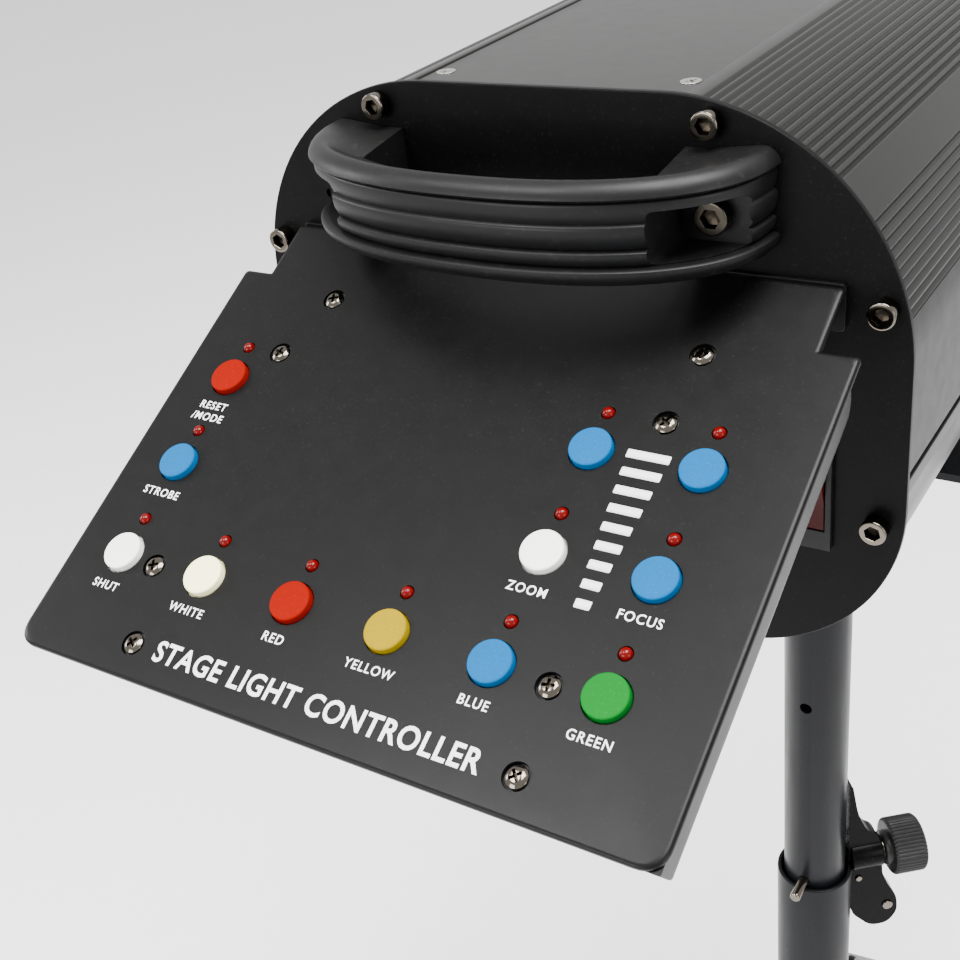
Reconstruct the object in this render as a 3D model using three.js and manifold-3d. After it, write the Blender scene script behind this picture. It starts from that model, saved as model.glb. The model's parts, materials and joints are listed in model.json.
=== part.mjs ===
// Follow spot on a telescopic mast with a folding tripod. Millimetres, +Z up, +Y along the beam,
// +X to the operator's right. The origin is on the floor, under the mast's axis.
import * as THREE from "three";
import { mergeVertices } from "three/addons/utils/BufferGeometryUtils.js";
import Module from "manifold-3d";

const wasm = await Module();
wasm.setup();

// ---------------------------------------------------------------- driving dimensions
const DEG = Math.PI / 180;
const GAP = 0.3; // play between neighbouring pieces

const TILT_Z = 1250; // height of the tilt axis, which is the housing's centre line
const PLATE = 3; // thickness of the two end plates
const REAR_Y = -304; // outer face of the rear plate
const FRONT_Y = 256; // outer face of the front plate
const NOSE_Y = 487; // front face of the lens bezel

// End plate outline: flat top and bottom joined by large corner arcs.
const TOP_ARC = { x: 49, z: 22, r: 90 };
const LOW_ARC = { x: 64, z: -35, r: 75 };
const OVERHANG = 2.5; // how far the end plates stand proud of the profiles

// Extruded housing profiles.
const WALL = 2;
const RIB_DEPTH = 1.5;
const RIB_FILL = 0.58; // share of the pitch that a rib's top takes
const RAIL = { x: 61, angle: 82.1, ribsFrom: 77.5 };
const BAND = { from: 44.7, to: 34.2 };
const SEAM_ANGLE = 9.9;
const TOP_RIBS = 14;
const SIDE_RIBS = 10;
const COVER_TOP_Z = 107.9;
const LOWER_JOINT_X = 62;
const SIDE_LOW_Z = -24.5;
const LEDGE = { top: -27.5, bottom: -33.5 };

// Control panel: a sheet that slopes up towards the rear plate.
const PANEL_TILT = 28;
const PANEL_ORIGIN = { y: REAR_Y - 144.6, z: -23.55 }; // centre of the lowest button row
const PANEL = { half: 130, low: -43.5, shoulder: 133, tabHalf: 116.5, tabTop: 161, t: 2, corner: 8 };
const BUTTON_PITCH = 40;
const BUTTON_X0 = -104.8;
const BUTTON_ROWS = [0, 40.4, 80.8];
const BUTTON_R = 7.75;
const BUTTON_TRAVEL = 2;
const LED_OFFSET = 15;
const LED_R = 2.5;
const BOARD_TOP = -11.6;
const BOX = { half: 129, low: -43, high: 124, depth: 15, wall: 1.5, corner: 10 };
const BRACKET_X = 40;

// Rear handle.
const HANDLE = { half: 93, depth: 55.5, power: 2.3, low: 61, high: 96.5, lip: 6.5, inset: 2.5 };
const FINGER_GAP = { half: 59, side: 25.5, middle: 38.5 };
const DISH = { half: 62, depth: 38, z: 91, crest: 6 }; // the top falls from its crest to the finger gap
const POCKET = { x: 76, half: 12.7, low: 67.2, high: 86.2, floor: 14, screwR: 6, screwZ: 77 };

// Yoke and tilt knobs.
const YOKE = { inside: 151, t: 5, width: 50, barLow: -190, bend: 18 };
const BOSS_R = 20;
const BOLT_R = 5;

// Mast.
const INNER_R = 22.5;
const OUTER_R = 27.5;
const TUBE_WALL = 2;
const RIM_Z = 685;
const PIN_R = 4;
const PIN_PITCH = 167.5;
const CLAMP_Z = 690;
const MAST_KNOB = { r: 21.5, t: 25, from: 57, shank: 33 };
const CLAMP_ANGLE = 39.7; // direction of the mast knob, from +X towards +Y
const COLLAR = { r: 29, low: 1005, high: 1050 };
const SPIGOT_R = 14;

// Tripod: each leg and its strut make an isosceles pair between two hubs.
const LEG_PIVOT = { r: 48, z: 520 };
const LEG_ANGLE = 40;
const STRUT = 240;
const LEG_R = 12.5;
const FOOT = { r: 18, h: 22 };
const LEG_DIRECTIONS = [90, 210, 330];

// ---------------------------------------------------------------- helpers
const AXES = {
  x: new THREE.Vector3(1, 0, 0),
  y: new THREE.Vector3(0, 1, 0),
  z: new THREE.Vector3(0, 0, 1),
};

function solid(geometry) {
  const plain = geometry.clone();
  plain.deleteAttribute("normal");
  plain.deleteAttribute("uv");
  const merged = mergeVertices(plain, 1e-4);
  return new wasm.Manifold(
    new wasm.Mesh({
      numProp: 3,
      vertProperties: merged.attributes.position.array,
      triVerts: new Uint32Array(merged.index.array),
    }),
  );
}

function geometryOf(manifold) {
  const mesh = manifold.getMesh();
  const geometry = new THREE.BufferGeometry();
  geometry.setAttribute("position", new THREE.BufferAttribute(mesh.vertProperties, 3));
  geometry.setIndex(new THREE.BufferAttribute(mesh.triVerts, 1));
  geometry.computeVertexNormals();
  return geometry;
}

const union = (solids) => solids.reduce((sum, next) => sum.add(next));
const cut = (body, tools) => tools.reduce((left, tool) => left.subtract(tool), body);

// A box between two opposite corners.
function block(x0, x1, y0, y1, z0, z1) {
  const geometry = new THREE.BoxGeometry(x1 - x0, y1 - y0, z1 - z0);
  return solid(geometry.translate((x0 + x1) / 2, (y0 + y1) / 2, (z0 + z1) / 2));
}

// A round bar between two points.
function bar(radius, from, to, segments = 16) {
  const a = new THREE.Vector3(...from);
  const b = new THREE.Vector3(...to);
  const along = b.clone().sub(a);
  const geometry = new THREE.CylinderGeometry(radius, radius, along.length(), segments);
  geometry.applyQuaternion(new THREE.Quaternion().setFromUnitVectors(AXES.y, along.clone().normalize()));
  geometry.translate(...a.add(b).multiplyScalar(0.5).toArray());
  return solid(geometry);
}

// A surface of revolution from [radius, station] points, about X, Y or Z.
function turned(points, axis = "z", segments = 24, close = false) {
  const profile = points.map(([r, s]) => new THREE.Vector2(r, s));
  if (close) profile.push(profile[0].clone());
  const geometry = new THREE.LatheGeometry(profile, segments);
  geometry.applyQuaternion(new THREE.Quaternion().setFromUnitVectors(AXES.y, AXES[axis]));
  const made = solid(geometry);
  return made.volume() < 0 ? turned([...points].reverse(), axis, segments, close) : made;
}

function shapeOf(points) {
  return new THREE.Shape(points.map(([x, y]) => new THREE.Vector2(x, y)));
}

function extruded(shape, depth, curveSegments = 12) {
  return new THREE.ExtrudeGeometry(shape, { depth, bevelEnabled: false, curveSegments });
}

// Outlines in the X-Z, Y-Z and X-Y planes, extruded along the third axis.
function alongY(shape, y0, y1, curveSegments) {
  const geometry = extruded(shape, y1 - y0, curveSegments);
  return solid(geometry.rotateX(Math.PI / 2).translate(0, y1, 0));
}

function alongX(shape, x0, x1) {
  const turn = new THREE.Matrix4().makeBasis(AXES.y, AXES.z, AXES.x);
  return solid(extruded(shape, x1 - x0).applyMatrix4(turn).translate(x0, 0, 0));
}

function alongZ(shape, z0, z1, curveSegments) {
  return solid(extruded(shape, z1 - z0, curveSegments).translate(0, 0, z0));
}

const polar = (arc, angle, radius) => [
  arc.x + radius * Math.cos(angle * DEG),
  arc.z + radius * Math.sin(angle * DEG),
];

function arcPoints(arc, radius, from, to, steps) {
  return Array.from({ length: steps + 1 }, (_, i) => polar(arc, from + ((to - from) * i) / steps, radius));
}

const mirrored = (points) => points.map(([x, y]) => [-x, y]);

function circlePoints(x, y, radius, segments) {
  return Array.from({ length: segments }, (_, i) => {
    const angle = (2 * Math.PI * i) / segments;
    return [x + radius * Math.cos(angle), y + radius * Math.sin(angle)];
  });
}

function circleHole(x, y, radius, segments = 16) {
  return new THREE.Path(circlePoints(x, y, radius, segments).map(([a, b]) => new THREE.Vector2(a, b)));
}

function paint(color, roughness, metalness, extra = {}) {
  return new THREE.MeshStandardMaterial({ color, roughness, metalness, ...extra });
}

const FINISH = {
  powderCoat: paint(0x2b2b2b, 0.5, 0.2),
  profile: paint(0x3a3a3a, 0.42, 0.3),
  moulded: paint(0x151515, 0.38, 0),
  steelBlack: paint(0x2c2e33, 0.35, 0.4),
  nickel: paint(0xc9bca6, 0.25, 1),
  aluminium: paint(0xb4b7ba, 0.35, 0.9),
  board: paint(0x1d5a34, 0.5, 0),
  glass: paint(0xdfeaf0, 0.05, 0, { transparent: true, opacity: 0.35 }),
};
const CAP_COLOURS = {
  white: 0xe8e8e4,
  cream: 0xf0ecd8,
  red: 0xff4a10,
  yellow: 0xffe000,
  blue: 0x10b0ff,
  green: 0x10c860,
};

function place(parent, name, shape, material) {
  const geometry = shape.isBufferGeometry ? shape : geometryOf(shape);
  const mesh = new THREE.Mesh(geometry, material.clone());
  mesh.name = name;
  parent.add(mesh);
  return mesh;
}

// ---------------------------------------------------------------- housing
function plateOutline() {
  const top = TOP_ARC.z + TOP_ARC.r;
  const bottom = LOW_ARC.z - LOW_ARC.r;
  const shape = new THREE.Shape();
  shape.moveTo(-TOP_ARC.x, top);
  shape.lineTo(TOP_ARC.x, top);
  shape.absarc(TOP_ARC.x, TOP_ARC.z, TOP_ARC.r, 90 * DEG, 0, true);
  shape.absarc(LOW_ARC.x, LOW_ARC.z, LOW_ARC.r, 0, -90 * DEG, true);
  shape.lineTo(-LOW_ARC.x, bottom);
  shape.absarc(-LOW_ARC.x, LOW_ARC.z, LOW_ARC.r, -90 * DEG, -180 * DEG, true);
  shape.absarc(-TOP_ARC.x, TOP_ARC.z, TOP_ARC.r, 180 * DEG, 90 * DEG, true);
  return shape;
}

const PLATE_SCREWS = [
  [68, 103],
  [129, 43],
  [129, -42],
  [68, -101],
].flatMap(([x, z]) => [[x, z], [-x, z]]);

// Head of a cap screw that stands on an end plate; side is -1 towards the rear, +1 to the front.
function capScrew(x, z, face, side) {
  return bar(5, [x, face - side, z], [x, face + 6 * side, z], 10);
}

const INLET = { x: 84.5, z: -34, w: 50, h: 40 };
const SOCKETS = { x: [-70, -102], z: -34, r: 12 };

function rearPlate() {
  const body = alongY(plateOutline(), REAR_Y, REAR_Y + PLATE, 12);
  const vents = Array.from({ length: 5 }, (_, i) => {
    const z = -92 + i * 12;
    return block(-34, 34, REAR_Y - 5, REAR_Y + 8, z, z + 5);
  });
  const inlet = block(
    INLET.x - INLET.w / 2 - GAP, INLET.x + INLET.w / 2 + GAP, REAR_Y - 5, REAR_Y + 8,
    INLET.z - INLET.h / 2 - GAP, INLET.z + INLET.h / 2 + GAP,
  );
  const sockets = SOCKETS.x.map((x) =>
    bar(SOCKETS.r + GAP, [x, REAR_Y - 5, SOCKETS.z], [x, REAR_Y + 8, SOCKETS.z]));
  const cableHole = bar(8, [0, REAR_Y - 5, 22], [0, REAR_Y + 8, 22], 16);
  const screws = PLATE_SCREWS.map(([x, z]) => capScrew(x, z, REAR_Y, -1));
  return cut(union([body, ...screws]), [...vents, inlet, ...sockets, cableHole]);
}

function frontPlate() {
  const shape = plateOutline();
  shape.holes.push(circleHole(0, 0, 70, 32));
  const body = alongY(shape, FRONT_Y - PLATE, FRONT_Y, 12);
  const screws = PLATE_SCREWS.map(([x, z]) => capScrew(x, z, FRONT_Y, 1));
  return union([body, ...screws]);
}

const BODY_Y0 = REAR_Y + PLATE + GAP;
const BODY_Y1 = FRONT_Y - PLATE - GAP;
const TIP_R = TOP_ARC.r - OVERHANG;

// Rib tops and grooves along an arc, from one angle down to another.
function ribs(from, to, count) {
  const pitch = (to - from) / count;
  const valley = TIP_R - RIB_DEPTH;
  return Array.from({ length: count }, (_, i) => {
    const start = from + i * pitch;
    return [
      polar(TOP_ARC, start, TIP_R),
      polar(TOP_ARC, start + RIB_FILL * pitch, TIP_R),
      polar(TOP_ARC, start + (RIB_FILL + 0.09) * pitch, valley),
      polar(TOP_ARC, start + 0.91 * pitch, valley),
    ];
  }).flat();
}

// Corner extrusion from the top rail round to the seam, with a ledge that carries the top cover.
function upperProfile() {
  const ledge = COVER_TOP_Z - WALL - GAP;
  const inner = TIP_R - RIB_DEPTH - WALL;
  return [
    [RAIL.x, ledge],
    polar(TOP_ARC, RAIL.angle, TIP_R),
    ...ribs(RAIL.ribsFrom, BAND.from, TOP_RIBS),
    polar(TOP_ARC, BAND.from, TIP_R),
    ...ribs(BAND.to, SEAM_ANGLE, SIDE_RIBS),
    polar(TOP_ARC, SEAM_ANGLE, TIP_R),
    ...arcPoints(TOP_ARC, inner, SEAM_ANGLE, RAIL.ribsFrom, 12),
    [RAIL.x, ledge - WALL],
    [RAIL.x - 11, ledge - WALL],
    [RAIL.x - 11, ledge],
  ];
}

const SIDE_X = TOP_ARC.x + TIP_R;

function sideProfile() {
  const start = SEAM_ANGLE - 0.25;
  return [
    ...arcPoints(TOP_ARC, TIP_R, start, 0, 3),
    [SIDE_X, SIDE_LOW_Z],
    [SIDE_X - WALL, SIDE_LOW_Z],
    ...arcPoints(TOP_ARC, TIP_R - WALL, 0, start, 3),
  ];
}

// Side panel with the boss that takes the tilt knob's screw.
function sidePanel(side) {
  const outline = side > 0 ? sideProfile() : mirrored(sideProfile());
  const panel = alongY(shapeOf(outline), BODY_Y0, BODY_Y1);
  const bossEnd = YOKE.inside - 0.5;
  const boss = bar(BOSS_R, [side * (SIDE_X - 1), 0, 0], [side * bossEnd, 0, 0], 24);
  const thread = bar(BOLT_R + GAP, [side * (SIDE_X - 5), 0, 0], [side * (bossEnd + 2), 0, 0]);
  return panel.add(boss).subtract(thread);
}

// Lower corner extrusion: the web behind the slot, the ledge and the round bottom corner.
function lowerProfile() {
  const web = SIDE_X - WALL - 0.8;
  const outer = LOW_ARC.r - OVERHANG - 1;
  const bottom = LOW_ARC.z - outer;
  const shelf = bottom + WALL + GAP;
  return [
    [web, LEDGE.top],
    [SIDE_X, LEDGE.top],
    [SIDE_X, LEDGE.bottom],
    ...arcPoints(LOW_ARC, outer, 0, -90, 14),
    [LOWER_JOINT_X, bottom],
    [LOWER_JOINT_X, shelf],
    [LOWER_JOINT_X - 10, shelf],
    [LOWER_JOINT_X - 10, shelf + WALL],
    ...arcPoints(LOW_ARC, outer - WALL - GAP, -80, -4, 12),
    [web - WALL, LEDGE.top],
    [web - WALL, LEDGE.top + 12],
    [web, LEDGE.top + 12],
  ];
}

function topCover() {
  const half = RAIL.x - GAP;
  return block(-half, half, BODY_Y0, BODY_Y1, COVER_TOP_Z - WALL, COVER_TOP_Z);
}

// Bottom cover with two rows of cooling slots.
function bottomCover() {
  const half = LOWER_JOINT_X - GAP;
  const bottom = LOW_ARC.z - LOW_ARC.r + OVERHANG + 1;
  const slots = [];
  for (let row = 0; row < 2; row += 1) {
    for (let i = 0; i < 7; i += 1) {
      const y = -250 + row * 330 + i * 14;
      slots.push(block(-42, 42, y, y + 5, bottom - 5, bottom + 8));
    }
  }
  return cut(block(-half, half, BODY_Y0, BODY_Y1, bottom, bottom + WALL), slots);
}

function addHousing(head) {
  place(head, "rear_plate", rearPlate(), FINISH.powderCoat);
  place(head, "front_plate", frontPlate(), FINISH.powderCoat);
  place(head, "top_cover", topCover(), FINISH.profile);
  place(head, "bottom_cover", bottomCover(), FINISH.profile);
  for (const [side, label] of [[-1, "left"], [1, "right"]]) {
    const upper = side > 0 ? upperProfile() : mirrored(upperProfile());
    const lower = side > 0 ? lowerProfile() : mirrored(lowerProfile());
    place(head, "upper_profile_" + label, alongY(shapeOf(upper), BODY_Y0, BODY_Y1), FINISH.profile);
    place(head, "side_panel_" + label, sidePanel(side), FINISH.profile);
    place(head, "lower_profile_" + label, alongY(shapeOf(lower), BODY_Y0, BODY_Y1), FINISH.profile);
  }
}

// ---------------------------------------------------------------- rear handle
// Outer edge of the handle in plan, a superellipse from the right end round to the left.
function handleEdge(half, depth) {
  const steps = 28;
  return Array.from({ length: steps + 1 }, (_, i) => {
    const t = (Math.PI * i) / steps;
    const x = Math.sign(Math.cos(t)) * Math.abs(Math.cos(t)) ** (2 / HANDLE.power);
    return [half * x, -depth * Math.abs(Math.sin(t)) ** (2 / HANDLE.power)];
  });
}

// Plan outline of the handle: its outer edge, and a shallow arc round the finger gap.
function handlePlan(inset) {
  const points = handleEdge(HANDLE.half - inset, HANDLE.depth - inset);
  const gapSteps = 12;
  points.push([-FINGER_GAP.half, 0]);
  for (let i = 0; i <= gapSteps; i += 1) {
    const s = -1 + (2 * i) / gapSteps;
    const y = FINGER_GAP.side + (FINGER_GAP.middle - FINGER_GAP.side) * (1 - s * s);
    points.push([s * FINGER_GAP.half, -y]);
  }
  points.push([FINGER_GAP.half, 0]);
  return points;
}

// The hollow in the handle's top, which runs back past the rear plate's face.
function handleDish(y) {
  const behind = 5;
  const level = (half, depth, z) =>
    [...handleEdge(half, depth), [half, behind], [-half, behind]].map(([px, py]) => [px, py + y, z]);
  const half = HANDLE.half - DISH.crest;
  const depth = HANDLE.depth - DISH.crest;
  return wasm.Manifold.hull([
    ...level(DISH.half, DISH.depth, DISH.z),
    ...level(half, depth, HANDLE.high),
    ...level(half, depth, HANDLE.high + 1),
  ]);
}

function rearHandle() {
  const y = REAR_Y - GAP;
  const layer = (inset, z0, z1) => alongZ(shapeOf(handlePlan(inset)), z0, z1).translate([0, y, 0]);
  const grip = union([
    layer(HANDLE.inset, HANDLE.low + 1, HANDLE.high - 1),
    layer(0, HANDLE.high - HANDLE.lip, HANDLE.high),
    layer(0, HANDLE.low, HANDLE.low + HANDLE.lip),
  ]);
  const { x, half, low, high, floor, screwR, screwZ } = POCKET;
  const pockets = [-1, 1].map((side) =>
    block(side * x - half, side * x + half, y - 60, y - floor, low, high));
  const screws = [-1, 1].map((side) =>
    bar(screwR, [side * x, y - floor + 1, screwZ], [side * x, y - floor - 6, screwZ], 16));
  return union([cut(grip, [handleDish(y), ...pockets]), ...screws]);
}

// ---------------------------------------------------------------- control panel
// The panel's own frame: X across, Y up the slope, Z out of its face.
function panelFrame() {
  const frame = new THREE.Group();
  frame.position.set(0, PANEL_ORIGIN.y, PANEL_ORIGIN.z);
  frame.rotation.x = PANEL_TILT * DEG;
  frame.updateMatrix();
  return frame;
}

// Buttons as [name, column, row, colour].
const BUTTONS = [
  ["button_reset", 0, 2, "red"],
  ["button_strobe", 0, 1, "blue"],
  ["button_shut", 0, 0, "white"],
  ["button_white", 1, 0, "cream"],
  ["button_red", 2, 0, "red"],
  ["button_yellow", 3, 0, "yellow"],
  ["button_blue", 4, 0, "blue"],
  ["button_green", 5, 0, "green"],
  ["button_zoom", 4, 1, "white"],
  ["button_focus", 5, 1, "blue"],
  ["button_zoom_step", 4, 2, "blue"],
  ["button_focus_step", 5, 2, "blue"],
];

const buttonPlace = ([, column, row]) => [BUTTON_X0 + column * BUTTON_PITCH, BUTTON_ROWS[row]];

function panelOutline() {
  const { half, low, shoulder, tabHalf, tabTop, corner } = PANEL;
  const shape = new THREE.Shape();
  shape.moveTo(-half, shoulder);
  shape.lineTo(-half, low + corner);
  shape.absarc(-half + corner, low + corner, corner, 180 * DEG, 270 * DEG, false);
  shape.lineTo(half - corner, low);
  shape.absarc(half - corner, low + corner, corner, -90 * DEG, 0, false);
  shape.lineTo(half, shoulder);
  shape.lineTo(tabHalf, shoulder);
  shape.lineTo(tabHalf, tabTop);
  shape.lineTo(-tabHalf, tabTop);
  shape.lineTo(-tabHalf, shoulder);
  return shape;
}

// A solid given in the head's frame, brought into the panel's frame.
function fromHead(manifold, frame) {
  const matrix = frame.matrix.clone().invert();
  return solid(geometryOf(manifold).applyMatrix4(matrix));
}

function controlPanel(frame) {
  const shape = panelOutline();
  for (const button of BUTTONS) {
    const [u, v] = buttonPlace(button);
    shape.holes.push(circleHole(u, v, BUTTON_R + 0.35));
    shape.holes.push(circleHole(u, v + LED_OFFSET, LED_R + 0.3, 8));
  }
  const sheet = alongZ(shape, -PANEL.t, 0, 10);
  const flange = block(-PANEL.tabHalf, PANEL.tabHalf, REAR_Y - GAP - PANEL.t, REAR_Y - GAP, 34, 51.6);
  return sheet.add(fromHead(flange, frame));
}

// Tray under the panel, with two sheet brackets that carry it on the rear plate.
function controlBox(frame) {
  const { half, low, high, depth, wall, corner } = BOX;
  const top = -PANEL.t - GAP;
  const outline = new THREE.Shape();
  outline.moveTo(low, top);
  outline.lineTo(low, -depth);
  outline.lineTo(high - corner, -depth);
  outline.absarc(high - corner, -depth + corner, corner, -90 * DEG, 0, false);
  outline.lineTo(high, top);
  const outer = alongX(outline, -half, half);
  const inner = block(-half + wall, half - wall, low + wall, high - wall, -depth + wall, top + 5);
  const tray = outer.subtract(inner);
  const brackets = [-1, 1].map((side) => {
    const x = side * BRACKET_X;
    const web = shapeOf([
      [REAR_Y - GAP, 12], [REAR_Y - 44, 15], [REAR_Y - 127, -29], [REAR_Y - GAP, -72],
    ]);
    const foot = block(x - 10, x + 10, REAR_Y - GAP - 3, REAR_Y - GAP, -72, 12);
    return fromHead(alongX(web, x - 1.5, x + 1.5).add(foot), frame);
  });
  const underside = block(-half - 20, half + 20, low - 50, high + 80, -depth + wall / 2, top + 40);
  return union([tray, ...brackets.map((bracket) => bracket.subtract(underside))]);
}

// Circuit board with its stand-offs and the indicator lamps that reach through the panel.
function controlBoard() {
  const board = block(-118, 118, -32, 116, BOARD_TOP - 1.5, BOARD_TOP);
  const standoffs = [-88.7, 76.3].flatMap((u) =>
    [-1.5, 96].map((v) => bar(3.5, [u, v, BOARD_TOP - 1], [u, v, -PANEL.t - GAP], 8)));
  const lamp = [[0, BOARD_TOP - 1], [LED_R, BOARD_TOP - 1], [LED_R, 0.8], [LED_R * 0.7, 2.4], [0, 3]];
  const lamps = BUTTONS.map((button) => {
    const [u, v] = buttonPlace(button);
    return turned(lamp, "z", 8).translate([u, v + LED_OFFSET, 0]);
  });
  return union([board, ...standoffs, ...lamps]);
}

// Push button: round cap, a flange under the panel that keeps it in, and the plunger.
function buttonCap() {
  const foot = BOARD_TOP + BUTTON_TRAVEL + 0.6;
  return turned([
    [0, foot], [3, foot], [3, -5], [BUTTON_R + 1.2, -5], [BUTTON_R + 1.2, -PANEL.t - GAP],
    [BUTTON_R, -PANEL.t - GAP], [BUTTON_R, 2.9], [BUTTON_R - 0.8, 3.6], [0, 3.6],
  ], "z", 14);
}

function addControls(head) {
  const frame = panelFrame();
  head.add(frame);
  place(frame, "control_panel", controlPanel(frame), FINISH.powderCoat);
  place(frame, "control_box", controlBox(frame), FINISH.powderCoat);
  place(frame, "control_board", controlBoard(), FINISH.board);
  const cap = geometryOf(buttonCap());
  for (const button of BUTTONS) {
    const [u, v] = buttonPlace(button);
    place(frame, button[0], cap, paint(CAP_COLOURS[button[3]], 0.35, 0)).position.set(u, v, 0);
  }
}

// ---------------------------------------------------------------- mains inlet and data sockets
const ROCKER = { x: 104, halfX: 5.8, pivotY: REAR_Y + 4, tilt: 10 };

function powerInlet() {
  const face = REAR_Y - GAP - 2.5;
  const { x, z, w, h } = INLET;
  const flange = block(x - w / 2 - 3, x + w / 2 + 3, face, REAR_Y - GAP, z - h / 2 - 2, z + h / 2 + 2);
  const body = block(x - w / 2, x + w / 2, face + 1, REAR_Y + 24, z - h / 2, z + h / 2);
  const well = shapeOf([
    [-13.5, -9.5], [13.5, -9.5], [13.5, 5], [9, 9.5], [-9, 9.5], [-13.5, 5],
  ].map(([a, b]) => [x - 12.5 + a, z + b]));
  const cavity = alongY(well, face - 5, REAR_Y + 14);
  const pins = [[-7, -2], [0, 3], [7, -2]].map(([a, b]) =>
    block(x - 13.5 + a, x - 11.5 + a, REAR_Y + 4, REAR_Y + 16, z + b - 2, z + b + 2));
  const rockerWell = block(
    ROCKER.x - ROCKER.halfX - 0.5, ROCKER.x + ROCKER.halfX + 0.5, face - 5, REAR_Y + 16, z - 13.8, z + 13.8,
  );
  return union([cut(flange.add(body), [cavity, rockerWell]), ...pins]);
}

// Rocker: a shallow V on its face, turned to its off position about its pivot line.
function rockerSwitch() {
  const profile = [[-8.6, -12], [-6.8, 0], [-8.6, 12], [-5, 11.6], [5, 7], [5, -7], [-5, -11.6]];
  const turn = ROCKER.tilt * DEG;
  const points = profile.map(([y, z]) => [
    ROCKER.pivotY + y * Math.cos(turn) - z * Math.sin(turn),
    INLET.z + y * Math.sin(turn) + z * Math.cos(turn),
  ]);
  return alongX(shapeOf(points), ROCKER.x - ROCKER.halfX, ROCKER.x + ROCKER.halfX);
}

// Two three-pole data sockets on one flange: pins on the input, holes on the output.
function dataSockets() {
  const face = REAR_Y - GAP - 2;
  const [inX, outX] = SOCKETS.x;
  const flange = block(outX - 17, inX + 17, face, REAR_Y - GAP, SOCKETS.z - 17, SOCKETS.z + 17);
  const shells = SOCKETS.x.map((x) =>
    bar(SOCKETS.r, [x, face + 1, SOCKETS.z], [x, REAR_Y + 20, SOCKETS.z], 14));
  const contacts = [90, 210, 330].map((angle) => [5 * Math.cos(angle * DEG), 5 * Math.sin(angle * DEG)]);
  const round = (x, r, from, to) =>
    bar(r, [x, REAR_Y + from, SOCKETS.z], [x, REAR_Y + to, SOCKETS.z], 14);
  const at = ([a, b], x, r, from, to) =>
    bar(r, [x + a, REAR_Y + from, SOCKETS.z + b], [x + a, REAR_Y + to, SOCKETS.z + b], 6);
  const pins = contacts.map((c) => at(c, inX, 1.2, 4, 16));
  const holes = contacts.map((c) => at(c, outX, 1.6, -5, 12));
  const wells = [round(inX, 9.5, -5, 14), round(outX, 9.5, -5, 1)];
  return union([cut(union([flange, ...shells]), [...wells, ...holes]), ...pins]);
}

function addSockets(head) {
  place(head, "power_inlet", powerInlet(), FINISH.moulded);
  place(head, "rocker_switch", rockerSwitch(), paint(0xc21a12, 0.3, 0));
  place(head, "data_sockets", dataSockets(), FINISH.moulded);
}

// ---------------------------------------------------------------- lens barrel
const BARREL = { r: 84, bore: 81.5, flange: 98 };
const BEZEL = { r: 89, back: NOSE_Y - 34, lip: 70 };
const FRONT_LENS = { r: 76, back: NOSE_Y - 24, edge: 6, bulge: 11 };

function lensTube() {
  const y0 = FRONT_Y + GAP;
  const bezelSeat = BEZEL.back + 14;
  return turned([
    [BARREL.bore, y0], [BARREL.flange, y0], [BARREL.flange, y0 + 5],
    [BARREL.r + 2, y0 + 8], [BARREL.r, y0 + 14],
    [BARREL.r, bezelSeat], [BARREL.bore, bezelSeat],
  ], "y", 30, true);
}

function lensBezel() {
  const { r, back, lip } = BEZEL;
  const seat = FRONT_LENS.back + FRONT_LENS.edge + GAP;
  const bore = FRONT_LENS.r + GAP;
  return turned([
    [BARREL.r + GAP, back], [r, back], [r, NOSE_Y - 4], [r - 4, NOSE_Y], [lip + 3, NOSE_Y],
    [lip, seat + 3], [lip, seat], [bore, seat], [bore, back + 14 + GAP], [BARREL.r + GAP, back + 14 + GAP],
  ], "y", 30, true);
}

function frontLens() {
  const { r, back, edge, bulge } = FRONT_LENS;
  const clear = BEZEL.lip - 1;
  const dome = [1, 0.8, 0.6, 0.4, 0.2, 0].map((s) => [clear * s, back + edge + bulge * (1 - s * s)]);
  return turned([[0, back], [r, back], [r, back + edge], ...dome], "y", 30);
}

function addBarrel(head) {
  place(head, "lens_tube", lensTube(), FINISH.powderCoat);
  place(head, "lens_bezel", lensBezel(), FINISH.powderCoat);
  place(head, "front_lens", frontLens(), FINISH.glass);
}

// ---------------------------------------------------------------- inside the head
const CHASSIS_Z = -66;
const RODS = { x: 78, z: -38, r: 5, y0: -18, y1: 248 };
const WHEEL = { x: 52, z: -20, y: -62, r: 72, t: 2, aperture: 15, count: 6 };
const FAN = { y0: -262, y1: -237, half: 60, bore: 56 };
const ENGINE = { back: -232, base: -140, front: -128, halfX: 70, halfZ: 58 };
const LENSES = { zoom: 60, focus: 150, r: 44 };

// Sheet chassis with the four uprights that hold the guide rods and the wheel motor's bracket.
function chassis() {
  const plate = block(-100, 100, -270, 250, CHASSIS_Z, CHASSIS_Z + WALL);
  const uprights = [RODS.y0 + 8, RODS.y1 - 12].flatMap((y) =>
    [-1, 1].map((side) =>
      block(side * RODS.x - 12, side * RODS.x + 12, y, y + 5, CHASSIS_Z + 1, RODS.z + 12)));
  const bracket = block(WHEEL.x - 21, WHEEL.x + 21, WHEEL.y + 40, WHEEL.y + 43, CHASSIS_Z + 1, WHEEL.z + 20);
  const holes = [-1, 1].map((side) =>
    bar(RODS.r + GAP, [side * RODS.x, RODS.y0 - 5, RODS.z], [side * RODS.x, RODS.y1 + 5, RODS.z], 16));
  const wheelSlot = block(WHEEL.x - 62, WHEEL.x + 62, WHEEL.y - 8, WHEEL.y + 8, CHASSIS_Z - 5, CHASSIS_Z + 10);
  return cut(union([plate, ...uprights, bracket]), [...holes, wheelSlot]);
}

function guideRod(side) {
  return bar(RODS.r, [side * RODS.x, RODS.y0, RODS.z], [side * RODS.x, RODS.y1, RODS.z], 16);
}

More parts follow.
